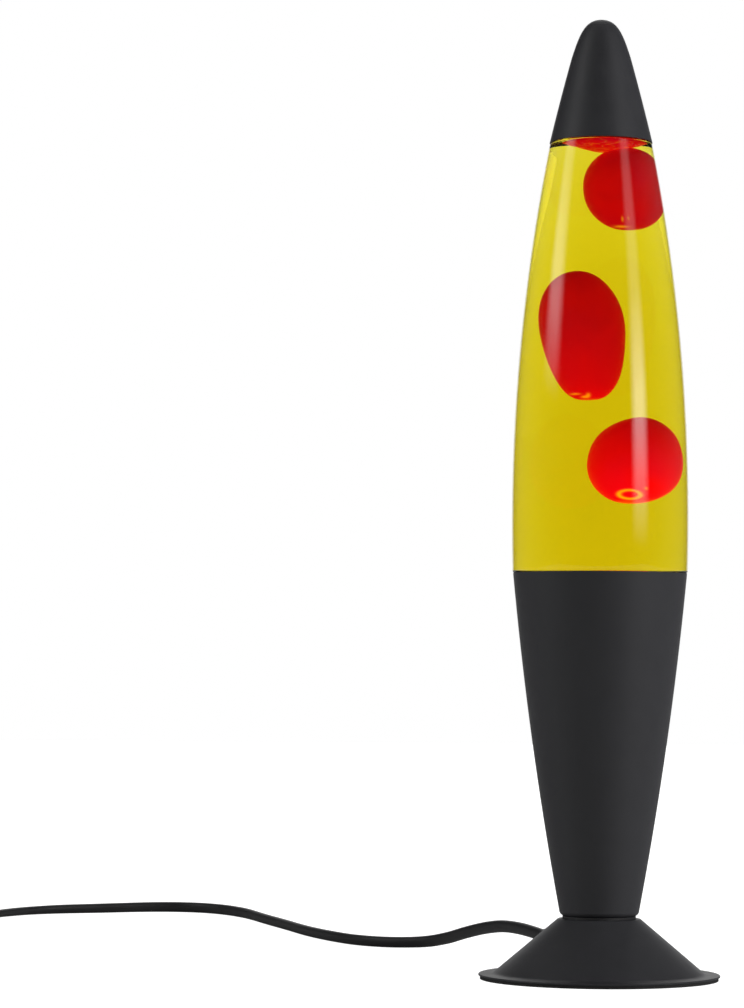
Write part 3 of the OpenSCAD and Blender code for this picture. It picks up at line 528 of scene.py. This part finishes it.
def redWax(v):                                     # dyed paraffin; the bulb's light through it is painted in as emission glow
    material, tree, shader, place = newMaterial("dyedWaxPaintedGlow", Roughness=0.4, IOR=1.44,
                                                Specular_IOR_Level=0.03)   # the liquid nearly matches it
    cloud = addNode(tree, "ShaderNodeTexNoise", {"Vector": place, "Scale": 45, "Detail": 3,
                                                 "Distortion": 0.6})
    tint = addNode(tree, "ShaderNodeMix", {"Factor": cloud.outputs["Fac"], 6: linear(v["dark"]),
                                           7: linear(v["bright"])}, data_type="RGBA")
    tree.links.new(tint.outputs[2], shader.inputs["Base Color"])
    height = addNode(tree, "ShaderNodeSeparateXYZ", {"Vector": place})
    # painted light: the glow is strongest near the bulb and fades upwards
    near = addNode(tree, "ShaderNodeMapRange", {
        "Value": height.outputs["Z"], "From Min": v["lowZ"] * mm, "From Max": v["highZ"] * mm,
        "To Min": v["lowGlow"], "To Max": v["highGlow"]})
    # painted light and shade: faces turned down glow more, faces turned up less
    normal = addNode(tree, "ShaderNodeNewGeometry").outputs["Normal"]
    facing = addNode(tree, "ShaderNodeSeparateXYZ", {"Vector": normal})
    under = addNode(tree, "ShaderNodeMapRange", {"Value": facing.outputs["Z"], "From Min": 1, "From Max": -1,
                                                 "To Min": 0.4, "To Max": 1.45})
    glow = addNode(tree, "ShaderNodeMath", {0: near.outputs["Result"], 1: under.outputs["Result"]},
                   operation="MULTIPLY")
    # painted light: an orange glow on faces turned straight down to the bulb
    paintedUnderGlow = addNode(tree, "ShaderNodeMapRange", {
        "Value": facing.outputs["Z"], "From Min": -0.88, "From Max": -1, "To Min": 0, "To Max": 1},
        interpolation_type="SMOOTHSTEP")
    paintedGlowMark = addNode(tree, "ShaderNodeAttribute", attribute_name="paintedGlowMark")   # painted glow and highlight of the marks, as if light passed through
    blend = addNode(tree, "ShaderNodeTexNoise", {"Vector": place, "Scale": 60, "Detail": 1})
    patch = addNode(tree, "ShaderNodeMapRange", {"Value": blend.outputs["Fac"], "From Min": 0.42,
                                                 "From Max": 0.62})
    hue = linear(v["red"])
    for factor, colour in ((patch.outputs["Result"], "crimson"), (paintedUnderGlow.outputs["Result"], "paintedUnderGlow"),
                           (paintedGlowMark.outputs["Fac"], "paintedGlowMark")):
        hue = addNode(tree, "ShaderNodeMix", {"Factor": factor, 6: hue, 7: linear(v[colour])},
                      data_type="RGBA").outputs[2]
    # painted light: the marks also glow brighter
    extra = addNode(tree, "ShaderNodeMath", {0: paintedGlowMark.outputs["Fac"], 1: v["paintedGlowMarkStrength"]}, operation="MULTIPLY")
    glow = addNode(tree, "ShaderNodeMath", {0: glow.outputs[0], 1: extra.outputs[0]}, operation="ADD")
    lit = addNode(tree, "ShaderNodeVectorMath", {0: hue, 3: glow.outputs[0]}, operation="SCALE")
    tree.links.new(lit.outputs["Vector"], shader.inputs["Emission Color"])
    shader.inputs["Emission Strength"].default_value = 1
    return material


wax = redWax(waxValues)


def markPaintedGlow(piece, strength):                     # writes the strength of the painted glow marks at each point, from 0 to 1
    layer = piece.data.attributes.new("paintedGlowMark", "FLOAT", "POINT")
    for item, vert in zip(layer.data, piece.data.vertices):
        item.value = min(1, strength(vert.co))


def markStrength(co, middle, marks):               # the painted glow marks lie on the front of a drop only
    total = 0
    for x, z, wide, tall, _, ring in marks:
        away = math.hypot((co.x / mm - x) / wide, (co.z / mm - z) / tall)
        if co.y < middle.y:
            total += 1.3 * math.exp(-((away - ring) / (0.22 if ring else 0.9))**2)
    return total


def makeDrop(name, v, d):
    low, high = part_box(d["node"])
    halfTall = (high.z - low.z) / 2
    middle = (low + high) / 2
    angles = [math.radians(a) for a in range(-60, 61)]
    widest = max(math.cos(a) * (1 + d["heavy"] * math.sin(a)) for a in angles)
    halfWide = (high.y - low.y) / 2 / widest
    bm = bmesh.new()
    bmesh.ops.create_icosphere(bm, subdivisions=v["detail"], radius=1)
    for vert in bm.verts:
        p = vert.co.copy()
        flat = math.hypot(p.x, p.y)
        swell = (1 + d["heavy"] * p.z) * (flat**(d["blunt"] - 1) if p.z < 0 and flat > 1e-4 else 1)
        bump = 1 + d["uneven"] * mm / halfWide * noise.noise(p * 1.3 + Vector((d["seed"], 0, 0)))
        vert.co = middle + Vector((p.x * halfWide * swell + p.z * halfTall * d["lean"],
                                   p.y * halfWide * swell, p.z * halfTall)) * bump
    for vert in bm.verts:                          # a ring is a rim about a shallow dent
        for x, z, wide, tall, deep, ring in d["marks"]:
            away = math.hypot((vert.co.x / mm - x) / wide, (vert.co.z / mm - z) / tall)
            if ring and vert.co.y < middle.y and away < 2:
                dent, rim = math.exp(-(away / 0.7)**2), math.exp(-((away - 1) / 0.3)**2)
                vert.co.y += deep * mm * (dent - 0.5 * rim)
    piece = addPiece(name, bm, d["body"], [wax], (d["node"],))
    markPaintedGlow(piece, lambda co: markStrength(co, middle, d["marks"]))
    return piece


for dropName, dropValues in waxValues["drops"].items():
    makeDrop(dropName, waxValues, dropValues)

# Wax layer under the surface, sagging towards the highest drop
slickValues = {
    "segments": 96, "raise": 1, "sag": 2, "sagAt": (2, 0), "sagWidth": 8, "uneven": 0.35, "seed": 7,
    "swirl": 0.32, "swirlBand": 0.06, "swirlGlow": 0.4,
}


def makeSlick(v):
    low, high = (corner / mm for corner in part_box("wax_slick"))
    middle, radius, top = (low + high) / 2, (high.y - low.y) / 2, high.z + v["raise"]
    bm = spunMesh([(0, low.z),
                   *bezierPoints((2, low.z), (7, low.z), (10.8, top - 2), (radius - 0.2, top - 0.7), 12),
                   *arcPoints(radius - 0.35, top - 0.35, 0.35, -60, 90, 6), (0, top)], v["segments"])
    bmesh.ops.subdivide_edges(bm, edges=bm.edges, cuts=1, use_grid_fill=True)
    bmesh.ops.translate(bm, verts=bm.verts, vec=(middle.x * mm, 0, 0))
    for vert in bm.verts:
        below = min(1, (top - vert.co.z / mm) / 1.5)
        away = math.hypot(vert.co.x / mm - v["sagAt"][0], vert.co.y / mm - v["sagAt"][1])
        away /= v["sagWidth"]
        rough = noise.noise(vert.co / mm * 0.35 + Vector((v["seed"], 0, 0)))
        vert.co.z -= mm * below * (v["sag"] * math.exp(-away * away) + v["uneven"] * rough)
    piece = addPiece("waxSlick", bm, "bottle", [wax], ("wax_slick",), 70)

    def swirl(co):                                 # pale orange lines across the layer, painted glow
        fold = noise.noise(Vector((co.x / mm * 0.22, co.y / mm * 0.22, co.z / mm * 0.9 + v["seed"])))
        fold -= v["swirl"] * noise.noise(co / mm * 0.15)
        return v["swirlGlow"] * math.exp(-(fold / v["swirlBand"])**2)
    markPaintedGlow(piece, swirl)


makeSlick(slickValues)
print("wax floated")


# Plastic parts on the lead, moulded in black: the switch, the plug with its ribbed boot, and the coil's tie
def mouldedPlastic(name, dark, light, roughness):  # even black with a fine spark-eroded grain
    return finishMaterial(name, dark, light, 0, roughness, 1.53, 0.4, 0.02)


switchValues = {
    "at": (-330, 254, 0), "long": 54, "wide": 26, "corner": 6, "split": 8.2, "seam": 0.15, "top": 17,
    "floor": 1.6, "wall": 1.8, "edge": 1.6, "footEdge": 0.8, "window": (11.4, 20.8), "windowLip": 0.5,
    "snoutZ": 5, "snoutLow": 4.35, "snoutEnd": 3.7, "snoutFrom": 20, "snoutTo": 31,
    "rockerZ": 12.2, "rockerTilt": 8, "rockerWide": 10.6, "rockerLong": 9.6, "rockerDish": 0.6,
    "markAt": 6.4, "markZ": 5.1, "markHeight": 0.25,
}


def switchHollow(v, low, high):                    # the space inside both halves of the case
    return roundedPlate(v["wide"] - 2 * v["wall"], v["long"] - 2 * v["wall"], v["corner"] - v["wall"],
                        low, high)


def switchBase(v):
    base = roundedPlate(v["wide"], v["long"], v["corner"], 0, v["split"] - v["seam"])
    bevelSharp(base, v["footEdge"], 3, lambda e: max(p.co.z for p in e.verts) < 1e-4)
    base = cutAway(base, switchHollow(v, v["floor"], 20))
    snouts = []
    for way in (-1, 1):                            # the lead goes in through one at each end
        snout = spunMesh([(0, v["snoutFrom"]), (v["snoutLow"], v["snoutFrom"]),
                          (v["snoutLow"], v["snoutTo"] - 5), (v["snoutEnd"] + 0.2, v["snoutTo"] - 0.6),
                          (v["snoutEnd"] - 0.3, v["snoutTo"]), (0, v["snoutTo"])], 40)
        bmesh.ops.rotate(snout, verts=snout.verts, cent=(0, 0, 0),
                         matrix=Matrix.Rotation(math.radians(-90 * way), 3, "X"))
        bmesh.ops.translate(snout, verts=snout.verts, vec=(0, 0, v["snoutZ"] * mm))
        snouts.append(snout)
    return merged(base, *snouts)


def switchCover(v):
    def onTop(edge):
        return min(p.co.z for p in edge.verts) > (v["top"] - 0.1) * mm

    def byWindow(edge):
        return onTop(edge) and max(abs(p.co.x) for p in edge.verts) < (v["window"][0] / 2 + 0.1) * mm
    cover = roundedPlate(v["wide"], v["long"], v["corner"], v["split"], v["top"])
    bevelSharp(cover, v["edge"], 5, onTop)
    cover = cutAway(cover, switchHollow(v, 0, v["top"] - v["wall"]))
    cover = cutAway(cover, roundedPlate(*v["window"], 0.6, 0, 30))
    bevelSharp(cover, v["windowLip"], 3, byWindow)
    return cover


def switchRocker(v):                               # dished along its length, with a raised I and O
    half, end = v["rockerWide"] / 2, v["rockerLong"]
    dish = [end * (1 - i / 6) for i in range(1, 12)]
    outline = [*arcPoints(0, 0, 5, 205, 335, 18), (end - 0.2, 3.2), (end, 5.4),
               *[(y, 4.8 + v["rockerDish"] * (y / end)**2) for y in dish], (-end, 5.4), (0.2 - end, 3.2)]
    rocker = bmesh.new()
    bmesh.ops.contextual_create(rocker, geom=[rocker.verts.new((-half * mm, y * mm, z * mm))
                                              for y, z in outline])
    side = bmesh.ops.extrude_face_region(rocker, geom=rocker.faces[:])["geom"]
    bmesh.ops.translate(rocker, verts=[g for g in side if isinstance(g, bmesh.types.BMVert)],
                        vec=(2 * half * mm, 0, 0))
    bmesh.ops.recalc_face_normals(rocker, faces=rocker.faces)
    bevelSharp(rocker, 0.5, 3)
    bar = roundedPlate(0.8, 3.2, 0.39, 5, v["markZ"] + v["markHeight"])
    bmesh.ops.translate(bar, verts=bar.verts, vec=(0, v["markAt"] * mm, 0))
    ring = bmesh.new()
    loop = [ring.verts.new(((1.6 + 0.35 * math.cos(a)) * mm, 0, (v["markZ"] + 0.3 * math.sin(a)) * mm))
            for a in (math.tau * i / 10 for i in range(10))]
    edges = [ring.edges.new((a, b)) for a, b in zip(loop, loop[1:] + loop[:1])]
    bmesh.ops.spin(ring, geom=loop + edges, cent=(0, 0, 0), axis=(0, 0, 1), angle=math.tau, steps=32,
                   use_merge=True)
    bmesh.ops.translate(ring, verts=ring.verts, vec=(0, -v["markAt"] * mm, 0))
    bmesh.ops.recalc_face_normals(ring, faces=ring.faces)
    rocker = merged(rocker, bar, ring)
    bmesh.ops.rotate(rocker, verts=rocker.verts, cent=(0, 0, 0),
                     matrix=Matrix.Rotation(math.radians(v["rockerTilt"]), 3, "X"))
    bmesh.ops.translate(rocker, verts=rocker.verts, vec=(0, 0, v["rockerZ"] * mm))
    return rocker


def makeSwitch(v):
    shell = mouldedPlastic("mouldedAbsShell", "#19191b", "#212123", 0.42)
    glossy = mouldedPlastic("polishedAbsRocker", "#222224", "#2a2a2c", 0.25)
    pieces = []
    for name, shape, body, finish, node in (
            ("switchBase", switchBase, "base", shell, "switch_base"),
            ("switchCover", switchCover, "base", shell, "switch_cover"),
            ("switchRocker", switchRocker, "rocker", glossy, "switch_rocker")):
        bm = shape(v)
        bmesh.ops.translate(bm, verts=bm.verts, vec=Vector(v["at"]) * mm)
        pieces.append(addPiece(name, bm, body, [finish], (node,), 35, True))
    return pieces


plugValues = {
    "at": (-330, 35, 6.85), "long": 26, "wide": 35.3, "thick": 13.7, "neckWide": 15, "neckThick": 11,
    "spreadFrom": 2, "spreadLong": 15.5, "rings": 104, "sides": 64, "edge": 0.9,
    "grips": 5, "gripFrom": 2.5, "gripStep": 2.6, "gripWide": 0.55, "gripDeep": 0.55,
    "bootLong": 12, "bootLow": 4.6, "bootEnd": 3.5, "bootRibs": 4, "bootGap": 0.6,
}


def plugRings(v):                                  # widens from the neck, with grip grooves and round ends
    stations = []
    for i in range(v["rings"] + 1):
        along = v["long"] * i / v["rings"]
        spread = min(max((along - v["spreadFrom"]) / v["spreadLong"], 0), 1)
        spread = spread * spread * (3 - 2 * spread)
        wide = v["neckWide"] + (v["wide"] - v["neckWide"]) * spread
        thick = v["neckThick"] + (v["thick"] - v["neckThick"]) * spread
        groove = max(math.exp(-((along - v["gripFrom"] - k * v["gripStep"]) / v["gripWide"])**2)
                     for k in range(v["grips"]))
        ends = min(along, v["long"] - along)
        rounding = v["edge"] - math.sqrt(max(0, v["edge"]**2 - max(0, v["edge"] - ends)**2))
        take = 2 * (v["gripDeep"] * groove + rounding)
        stations.append((-along, wide - take, thick - take))
    return stations


def bootProfile(v):                                # ribs and gaps by turns, thinner towards the lead
    profile = [(0, -1)]
    ribs = v["bootRibs"] * 2
    for i in range(ribs):
        low, high = v["bootLong"] * i / ribs, v["bootLong"] * (i + 1) / ribs
        radius = v["bootLow"] + (v["bootEnd"] - v["bootLow"]) * i / ribs - (v["bootGap"] if i % 2 else 0)
        profile += [(radius - 0.15, low), (radius, low + 0.2), (radius, high - 0.2), (radius - 0.15, high)]
    return profile + [(profile[-1][0] - 0.3, v["bootLong"]), (0, v["bootLong"])]


def makePlug(v):
    body = lofted(plugRings(v), v["sides"])
    boot = spunMesh(bootProfile(v), 48)
    bmesh.ops.rotate(boot, verts=boot.verts, cent=(0, 0, 0),
                     matrix=Matrix.Rotation(math.radians(-90), 3, "X"))
    bm = merged(body, boot)
    bmesh.ops.translate(bm, verts=bm.verts, vec=Vector(v["at"]) * mm)
    return addPiece("plugBody", bm, "base", [mouldedPlastic("softPvcMoulding", "#161617", "#1e1e20", 0.5)],
                    ("plug_body",), 45)


tieValues = {"wide": 6, "wall": 0.6, "corner": 2.4, "tail": 9, "tailInset": 0.3}


def makeTie(v):                                    # a hook-and-loop strap round the coil, its tail laid flat
    low, high = (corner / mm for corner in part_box("coil_tie"))
    middle = (low + high) / 2
    across, tall, half = high.x - low.x, high.z - low.z, v["wide"] / 2
    band = roundedPlate(across, tall, v["corner"], -half, half)
    band = cutAway(band, roundedPlate(across - 2 * v["wall"], tall - 2 * v["wall"], v["corner"] - v["wall"],
                                      -9, 9))
    bevelSharp(band, 0.18, 2, lambda e: abs(e.verts[0].co.z - e.verts[1].co.z) < 1e-6)
    tail = roundedPlate(v["tail"], v["wall"], 0.25, v["tailInset"] - half, half - v["tailInset"])
    bevelSharp(tail, 0.1, 2)
    bmesh.ops.translate(tail, verts=tail.verts, vec=((across / 2 - v["corner"] - v["tail"] / 2) * mm,
                                                     (tall / 2 + v["wall"] / 2 - 0.05) * mm, 0))
    bm = merged(band, tail)
    bmesh.ops.rotate(bm, verts=bm.verts, cent=(0, 0, 0),
                     matrix=Matrix.Rotation(math.radians(90), 3, "X"))
    bmesh.ops.translate(bm, verts=bm.verts, vec=middle * mm)
    return addPiece("coilTie", bm, "base", [wovenNylon()], ("coil_tie",), 35, True)


def wovenNylon():                                  # strap weave: 0.5 mm ribs, drawn at their real size
    material, tree, shader, place = newMaterial("wovenNylonStrap", Roughness=0.8, IOR=1.53, Sheen_Weight=0.3)
    across = addNode(tree, "ShaderNodeTexWave", {"Vector": place, "Scale": math.tau / (20 * 0.5 * mm)},
                     bands_direction="Y")
    fuzz = addNode(tree, "ShaderNodeTexNoise", {"Vector": place, "Scale": 1 / (0.3 * mm), "Detail": 3})
    tint = addNode(tree, "ShaderNodeMix", {"Factor": fuzz.outputs["Fac"], 6: linear("#161618"),
                                           7: linear("#2c2c30")}, data_type="RGBA")
    tree.links.new(tint.outputs[2], shader.inputs["Base Color"])
    height = addNode(tree, "ShaderNodeMath", {0: across.outputs["Fac"], 1: fuzz.outputs["Fac"]},
                     operation="ADD")
    bump = addNode(tree, "ShaderNodeBump", {"Height": height.outputs[0], "Strength": 0.5,
                                            "Distance": 0.12 * mm})
    tree.links.new(bump.outputs["Normal"], shader.inputs["Normal"])
    return material


switchPieces = makeSwitch(switchValues)
plug = makePlug(plugValues)
tie = makeTie(tieValues)
print("switch, plug and tie made")


# Finishes of the CAD nodes that stay, by the record's material slot
finishes = {
    # slot: name, two colours, metallic, roughness, IOR, grain in mm, depth of the grain in mm
    "black_paint": ("mattPowderCoat", "#1b1b1d", "#202022", 0, 0.5, 1.5, 0.9, 0.012),
    "eva_pad": ("closedCellFoam", "#121212", "#1c1c1c", 0, 0.9, 1.5, 0.5, 0.05),
    "black_abs": ("mouldedAbs", "#18181a", "#202022", 0, 0.42, 1.53, 0.4, 0.01),
    "zinc_steel": ("zincPlatedSteel", "#8d9094", "#b6b9bc", 1, 0.32, None, 0.6, 0.004),
    "neck_nylon": ("blackNylon", "#101011", "#181819", 0, 0.5, 1.53, 0.5, 0.01),
    "phenolic": ("mouldedPhenolic", "#17110e", "#241b16", 0, 0.28, 1.6, 0.7, 0.005),
    "steatite": ("glazedSteatite", "#d9d3c2", "#ece7d9", 0, 0.3, 1.6, 1.2, 0.01),
    "brass": ("stampedBrass", "#a8843a", "#cda95a", 1, 0.28, None, 0.8, 0.004),
    "bulb_glass": ("bulbGlass", "#f6faf8", "#ffffff", 0, 0.02, 1.5, 6, 0.004),
    "silvering": ("vapourSilvering", "#dfdfe0", "#f2f2f2", 1, 0.08, None, 2, 0.001),
    "bulb_shell": ("nickelledShell", "#9f9c94", "#c8c5bc", 1, 0.3, None, 0.7, 0.004),
    "vitrite": ("vitriteGlass", "#0b0810", "#1a1420", 0, 0.12, 1.55, 0.9, 0.003),
    "solder": ("tinnedSolder", "#8c8d8f", "#bfc0c2", 1, 0.35, None, 0.5, 0.01),
    "tungsten": ("litTungsten", "#6b6763", "#8a8580", 1, 0.4, None, 0.1, 0.001),
    "spring_steel": ("springSteel", "#7b7e82", "#a4a7aa", 1, 0.25, None, 0.4, 0.002),
    "crown_tin": ("lacqueredTinplate", "#b39a58", "#d2bd80", 1, 0.26, None, 0.6, 0.003),
    "liner": ("linerFoam", "#ddd8ca", "#ece8dc", 0, 0.7, 1.5, 0.3, 0.01),
    "cord_pvc": ("leadSheath", "#161617", "#212123", 0, 0.52, 1.53, 0.8, 0.01),
    "nylon": ("naturalNylon", "#1d1d1f", "#2a2a2c", 0, 0.45, 1.53, 0.5, 0.01),
    "wire_pvc": ("wirePvc", "#5c3b22", "#6e4a2e", 0, 0.4, 1.53, 0.6, 0.004),
    "nickel": ("nickelPlating", "#b9b8b2", "#d3d2cc", 1, 0.18, None, 0.5, 0.002),
}


made = {slot: finishMaterial(*values) for slot, values in finishes.items()}
made["bulb_glass"].node_tree.nodes["Principled BSDF"].inputs["Transmission Weight"].default_value = 1
lit = made["tungsten"].node_tree.nodes["Principled BSDF"].inputs
lit["Emission Color"].default_value = linear("#ffc27a")
lit["Emission Strength"].default_value = 3
made["red_wax"] = wax
for node in nodes.values():
    for place in node.material_slots:
        if place.material and place.material.name in made:
            place.material = made[place.material.name]
print("finishes set")


# Studio: a white backdrop, two tall soft boxes in front that show as streaks on the glass, and a pale floor
studioValues = {
    "backdrop": 1.0, "glossyFill": 0.03, "softFill": 0.42,
    "floorSize": 8000, "floorAhead": 1500, "floorColour": "#7c7c7c", "floorGlow": 0.97,
    # azimuth from +X and half width, then elevation and strength pairs, in degrees
    "boxes": [
        {"azimuth": -163.7, "half": 11, "soft": 14,
         "levels": [(10, 0), (16, 3.2), (19, 3.2), (25, 1.7), (60, 1.5), (70, 0)]},
        {"azimuth": -36, "half": 9, "soft": 11,
         "levels": [(0.5, 0), (9, 5.2), (11, 5.2), (18, 1.5), (30, 1.0), (55, 1.0), (65, 0)]},
    ],
    "screen": {"azimuth": 90, "half": 21, "soft": 12},
    # big soft lamps that shade the black metal and plastic: azimuth, elevation, strength, softness
    "lamps": {"softRight": (-14, 11, 8.6, 40), "softLeft": (-165, 13, 3.4, 40)},
}


def makeWorld(v):
    world = bpy.data.worlds.new("studio")
    bpy.context.scene.world = world
    world.use_nodes = True
    tree = world.node_tree
    tree.nodes.clear()
    way = addNode(tree, "ShaderNodeTexCoord").outputs["Generated"]
    axes = addNode(tree, "ShaderNodeSeparateXYZ", {"Vector": way})
    angle = addNode(tree, "ShaderNodeMath", {0: axes.outputs["Y"], 1: axes.outputs["X"]}, operation="ARCTAN2")
    lift = addNode(tree, "ShaderNodeMath", {0: axes.outputs["Z"]}, operation="ARCSINE")
    rays = addNode(tree, "ShaderNodeLightPath")
    fill = addNode(tree, "ShaderNodeMapRange", {"Value": rays.outputs["Is Diffuse Ray"],
                                                "To Min": v["glossyFill"], "To Max": v["softFill"]})
    total = fill.outputs["Result"]
    for box in [*v["boxes"], v["screen"]]:
        off = addNode(tree, "ShaderNodeMath", {0: angle.outputs[0], 1: math.radians(box["azimuth"])},
                      operation="SUBTRACT")
        off = addNode(tree, "ShaderNodeMath", {0: off.outputs[0]}, operation="ABSOLUTE")
        window = addNode(tree, "ShaderNodeMapRange", {
            "Value": off.outputs[0], "From Min": math.radians(box["half"] - box["soft"] / 2),
            "From Max": math.radians(box["half"] + box["soft"] / 2), "To Min": 1, "To Max": 0},
            interpolation_type="SMOOTHSTEP")
        part = window.outputs["Result"]
        if "levels" in box:
            level = addNode(tree, "ShaderNodeFloatCurve", {"Value": addNode(
                tree, "ShaderNodeMapRange", {"Value": lift.outputs[0], "From Min": 0, "From Max": math.pi / 2}
            ).outputs["Result"]})
            curve = level.mapping.curves[0]
            peak = max(s for _, s in box["levels"])
            pairs = [(0, 0), *[(e / 90, s / peak) for e, s in box["levels"]], (1, 0)]
            while len(curve.points) < len(pairs):
                curve.points.new(0.5, 0.5)
            for point, pair in zip(curve.points, pairs):
                point.location = pair
                point.handle_type = "VECTOR"
            level.mapping.update()
            scaled = addNode(tree, "ShaderNodeMath", {0: level.outputs[0], 1: peak}, operation="MULTIPLY")
            part = addNode(tree, "ShaderNodeMath", {0: scaled.outputs[0], 1: part},
                           operation="MULTIPLY").outputs[0]
        total = addNode(tree, "ShaderNodeMath", {0: total, 1: part}, operation="ADD").outputs[0]
    direct = addNode(tree, "ShaderNodeMath", {0: rays.outputs["Is Camera Ray"],
                                              1: rays.outputs["Is Transmission Ray"]}, operation="MAXIMUM")
    strength = addNode(tree, "ShaderNodeMix", {0: direct.outputs[0], 2: total, 3: v["backdrop"]})
    light = addNode(tree, "ShaderNodeBackground", {"Color": (1, 1, 1, 1), "Strength": strength.outputs[0]})
    addNode(tree, "ShaderNodeOutputWorld", {"Surface": light.outputs[0]})


def makeLamps(v):
    for name, (azimuth, elevation, strength, softness) in v["lamps"].items():
        lamp = bpy.data.lights.new(name, "SUN")
        lamp.energy, lamp.angle = strength, math.radians(softness)
        holder = bpy.data.objects.new(name, lamp)
        away = Vector((math.cos(math.radians(azimuth)) * math.cos(math.radians(elevation)),
                       math.sin(math.radians(azimuth)) * math.cos(math.radians(elevation)),
                       math.sin(math.radians(elevation))))
        holder.rotation_euler = away.to_track_quat("Z", "Y").to_euler()
        holder.location = away * 2
        holder.visible_glossy = holder.visible_transmission = False
        bpy.context.collection.objects.link(holder)


def makeFloor(v):
    bm = bmesh.new()
    bmesh.ops.create_grid(bm, x_segments=1, y_segments=1, size=v["floorSize"] / 2 * mm)
    bmesh.ops.translate(bm, verts=bm.verts, vec=(0, v["floorAhead"] * mm, 0))
    mesh = bpy.data.meshes.new("floor")
    bm.to_mesh(mesh)
    bm.free()
    material, tree, shader, _ = newMaterial("paleFloor", Roughness=0.8)
    shader.inputs["Emission Color"].default_value = (1, 1, 1, 1)
    shader.inputs["Base Color"].default_value = linear(v["floorColour"])
    rays = addNode(tree, "ShaderNodeLightPath")
    direct = addNode(tree, "ShaderNodeMath", {0: rays.outputs["Is Camera Ray"],
                                              1: rays.outputs["Is Transmission Ray"]}, operation="MAXIMUM")
    glow = addNode(tree, "ShaderNodeMath", {0: direct.outputs[0], 1: v["floorGlow"]}, operation="MULTIPLY")
    tree.links.new(glow.outputs[0], shader.inputs["Emission Strength"])
    mesh.materials.append(material)
    floor = bpy.data.objects.new("floor", mesh)
    bpy.context.collection.objects.link(floor)


makeWorld(studioValues)
makeLamps(studioValues)
makeFloor(studioValues)
print("studio lit")

bpy.context.view_layer.update()
print("pieces made")
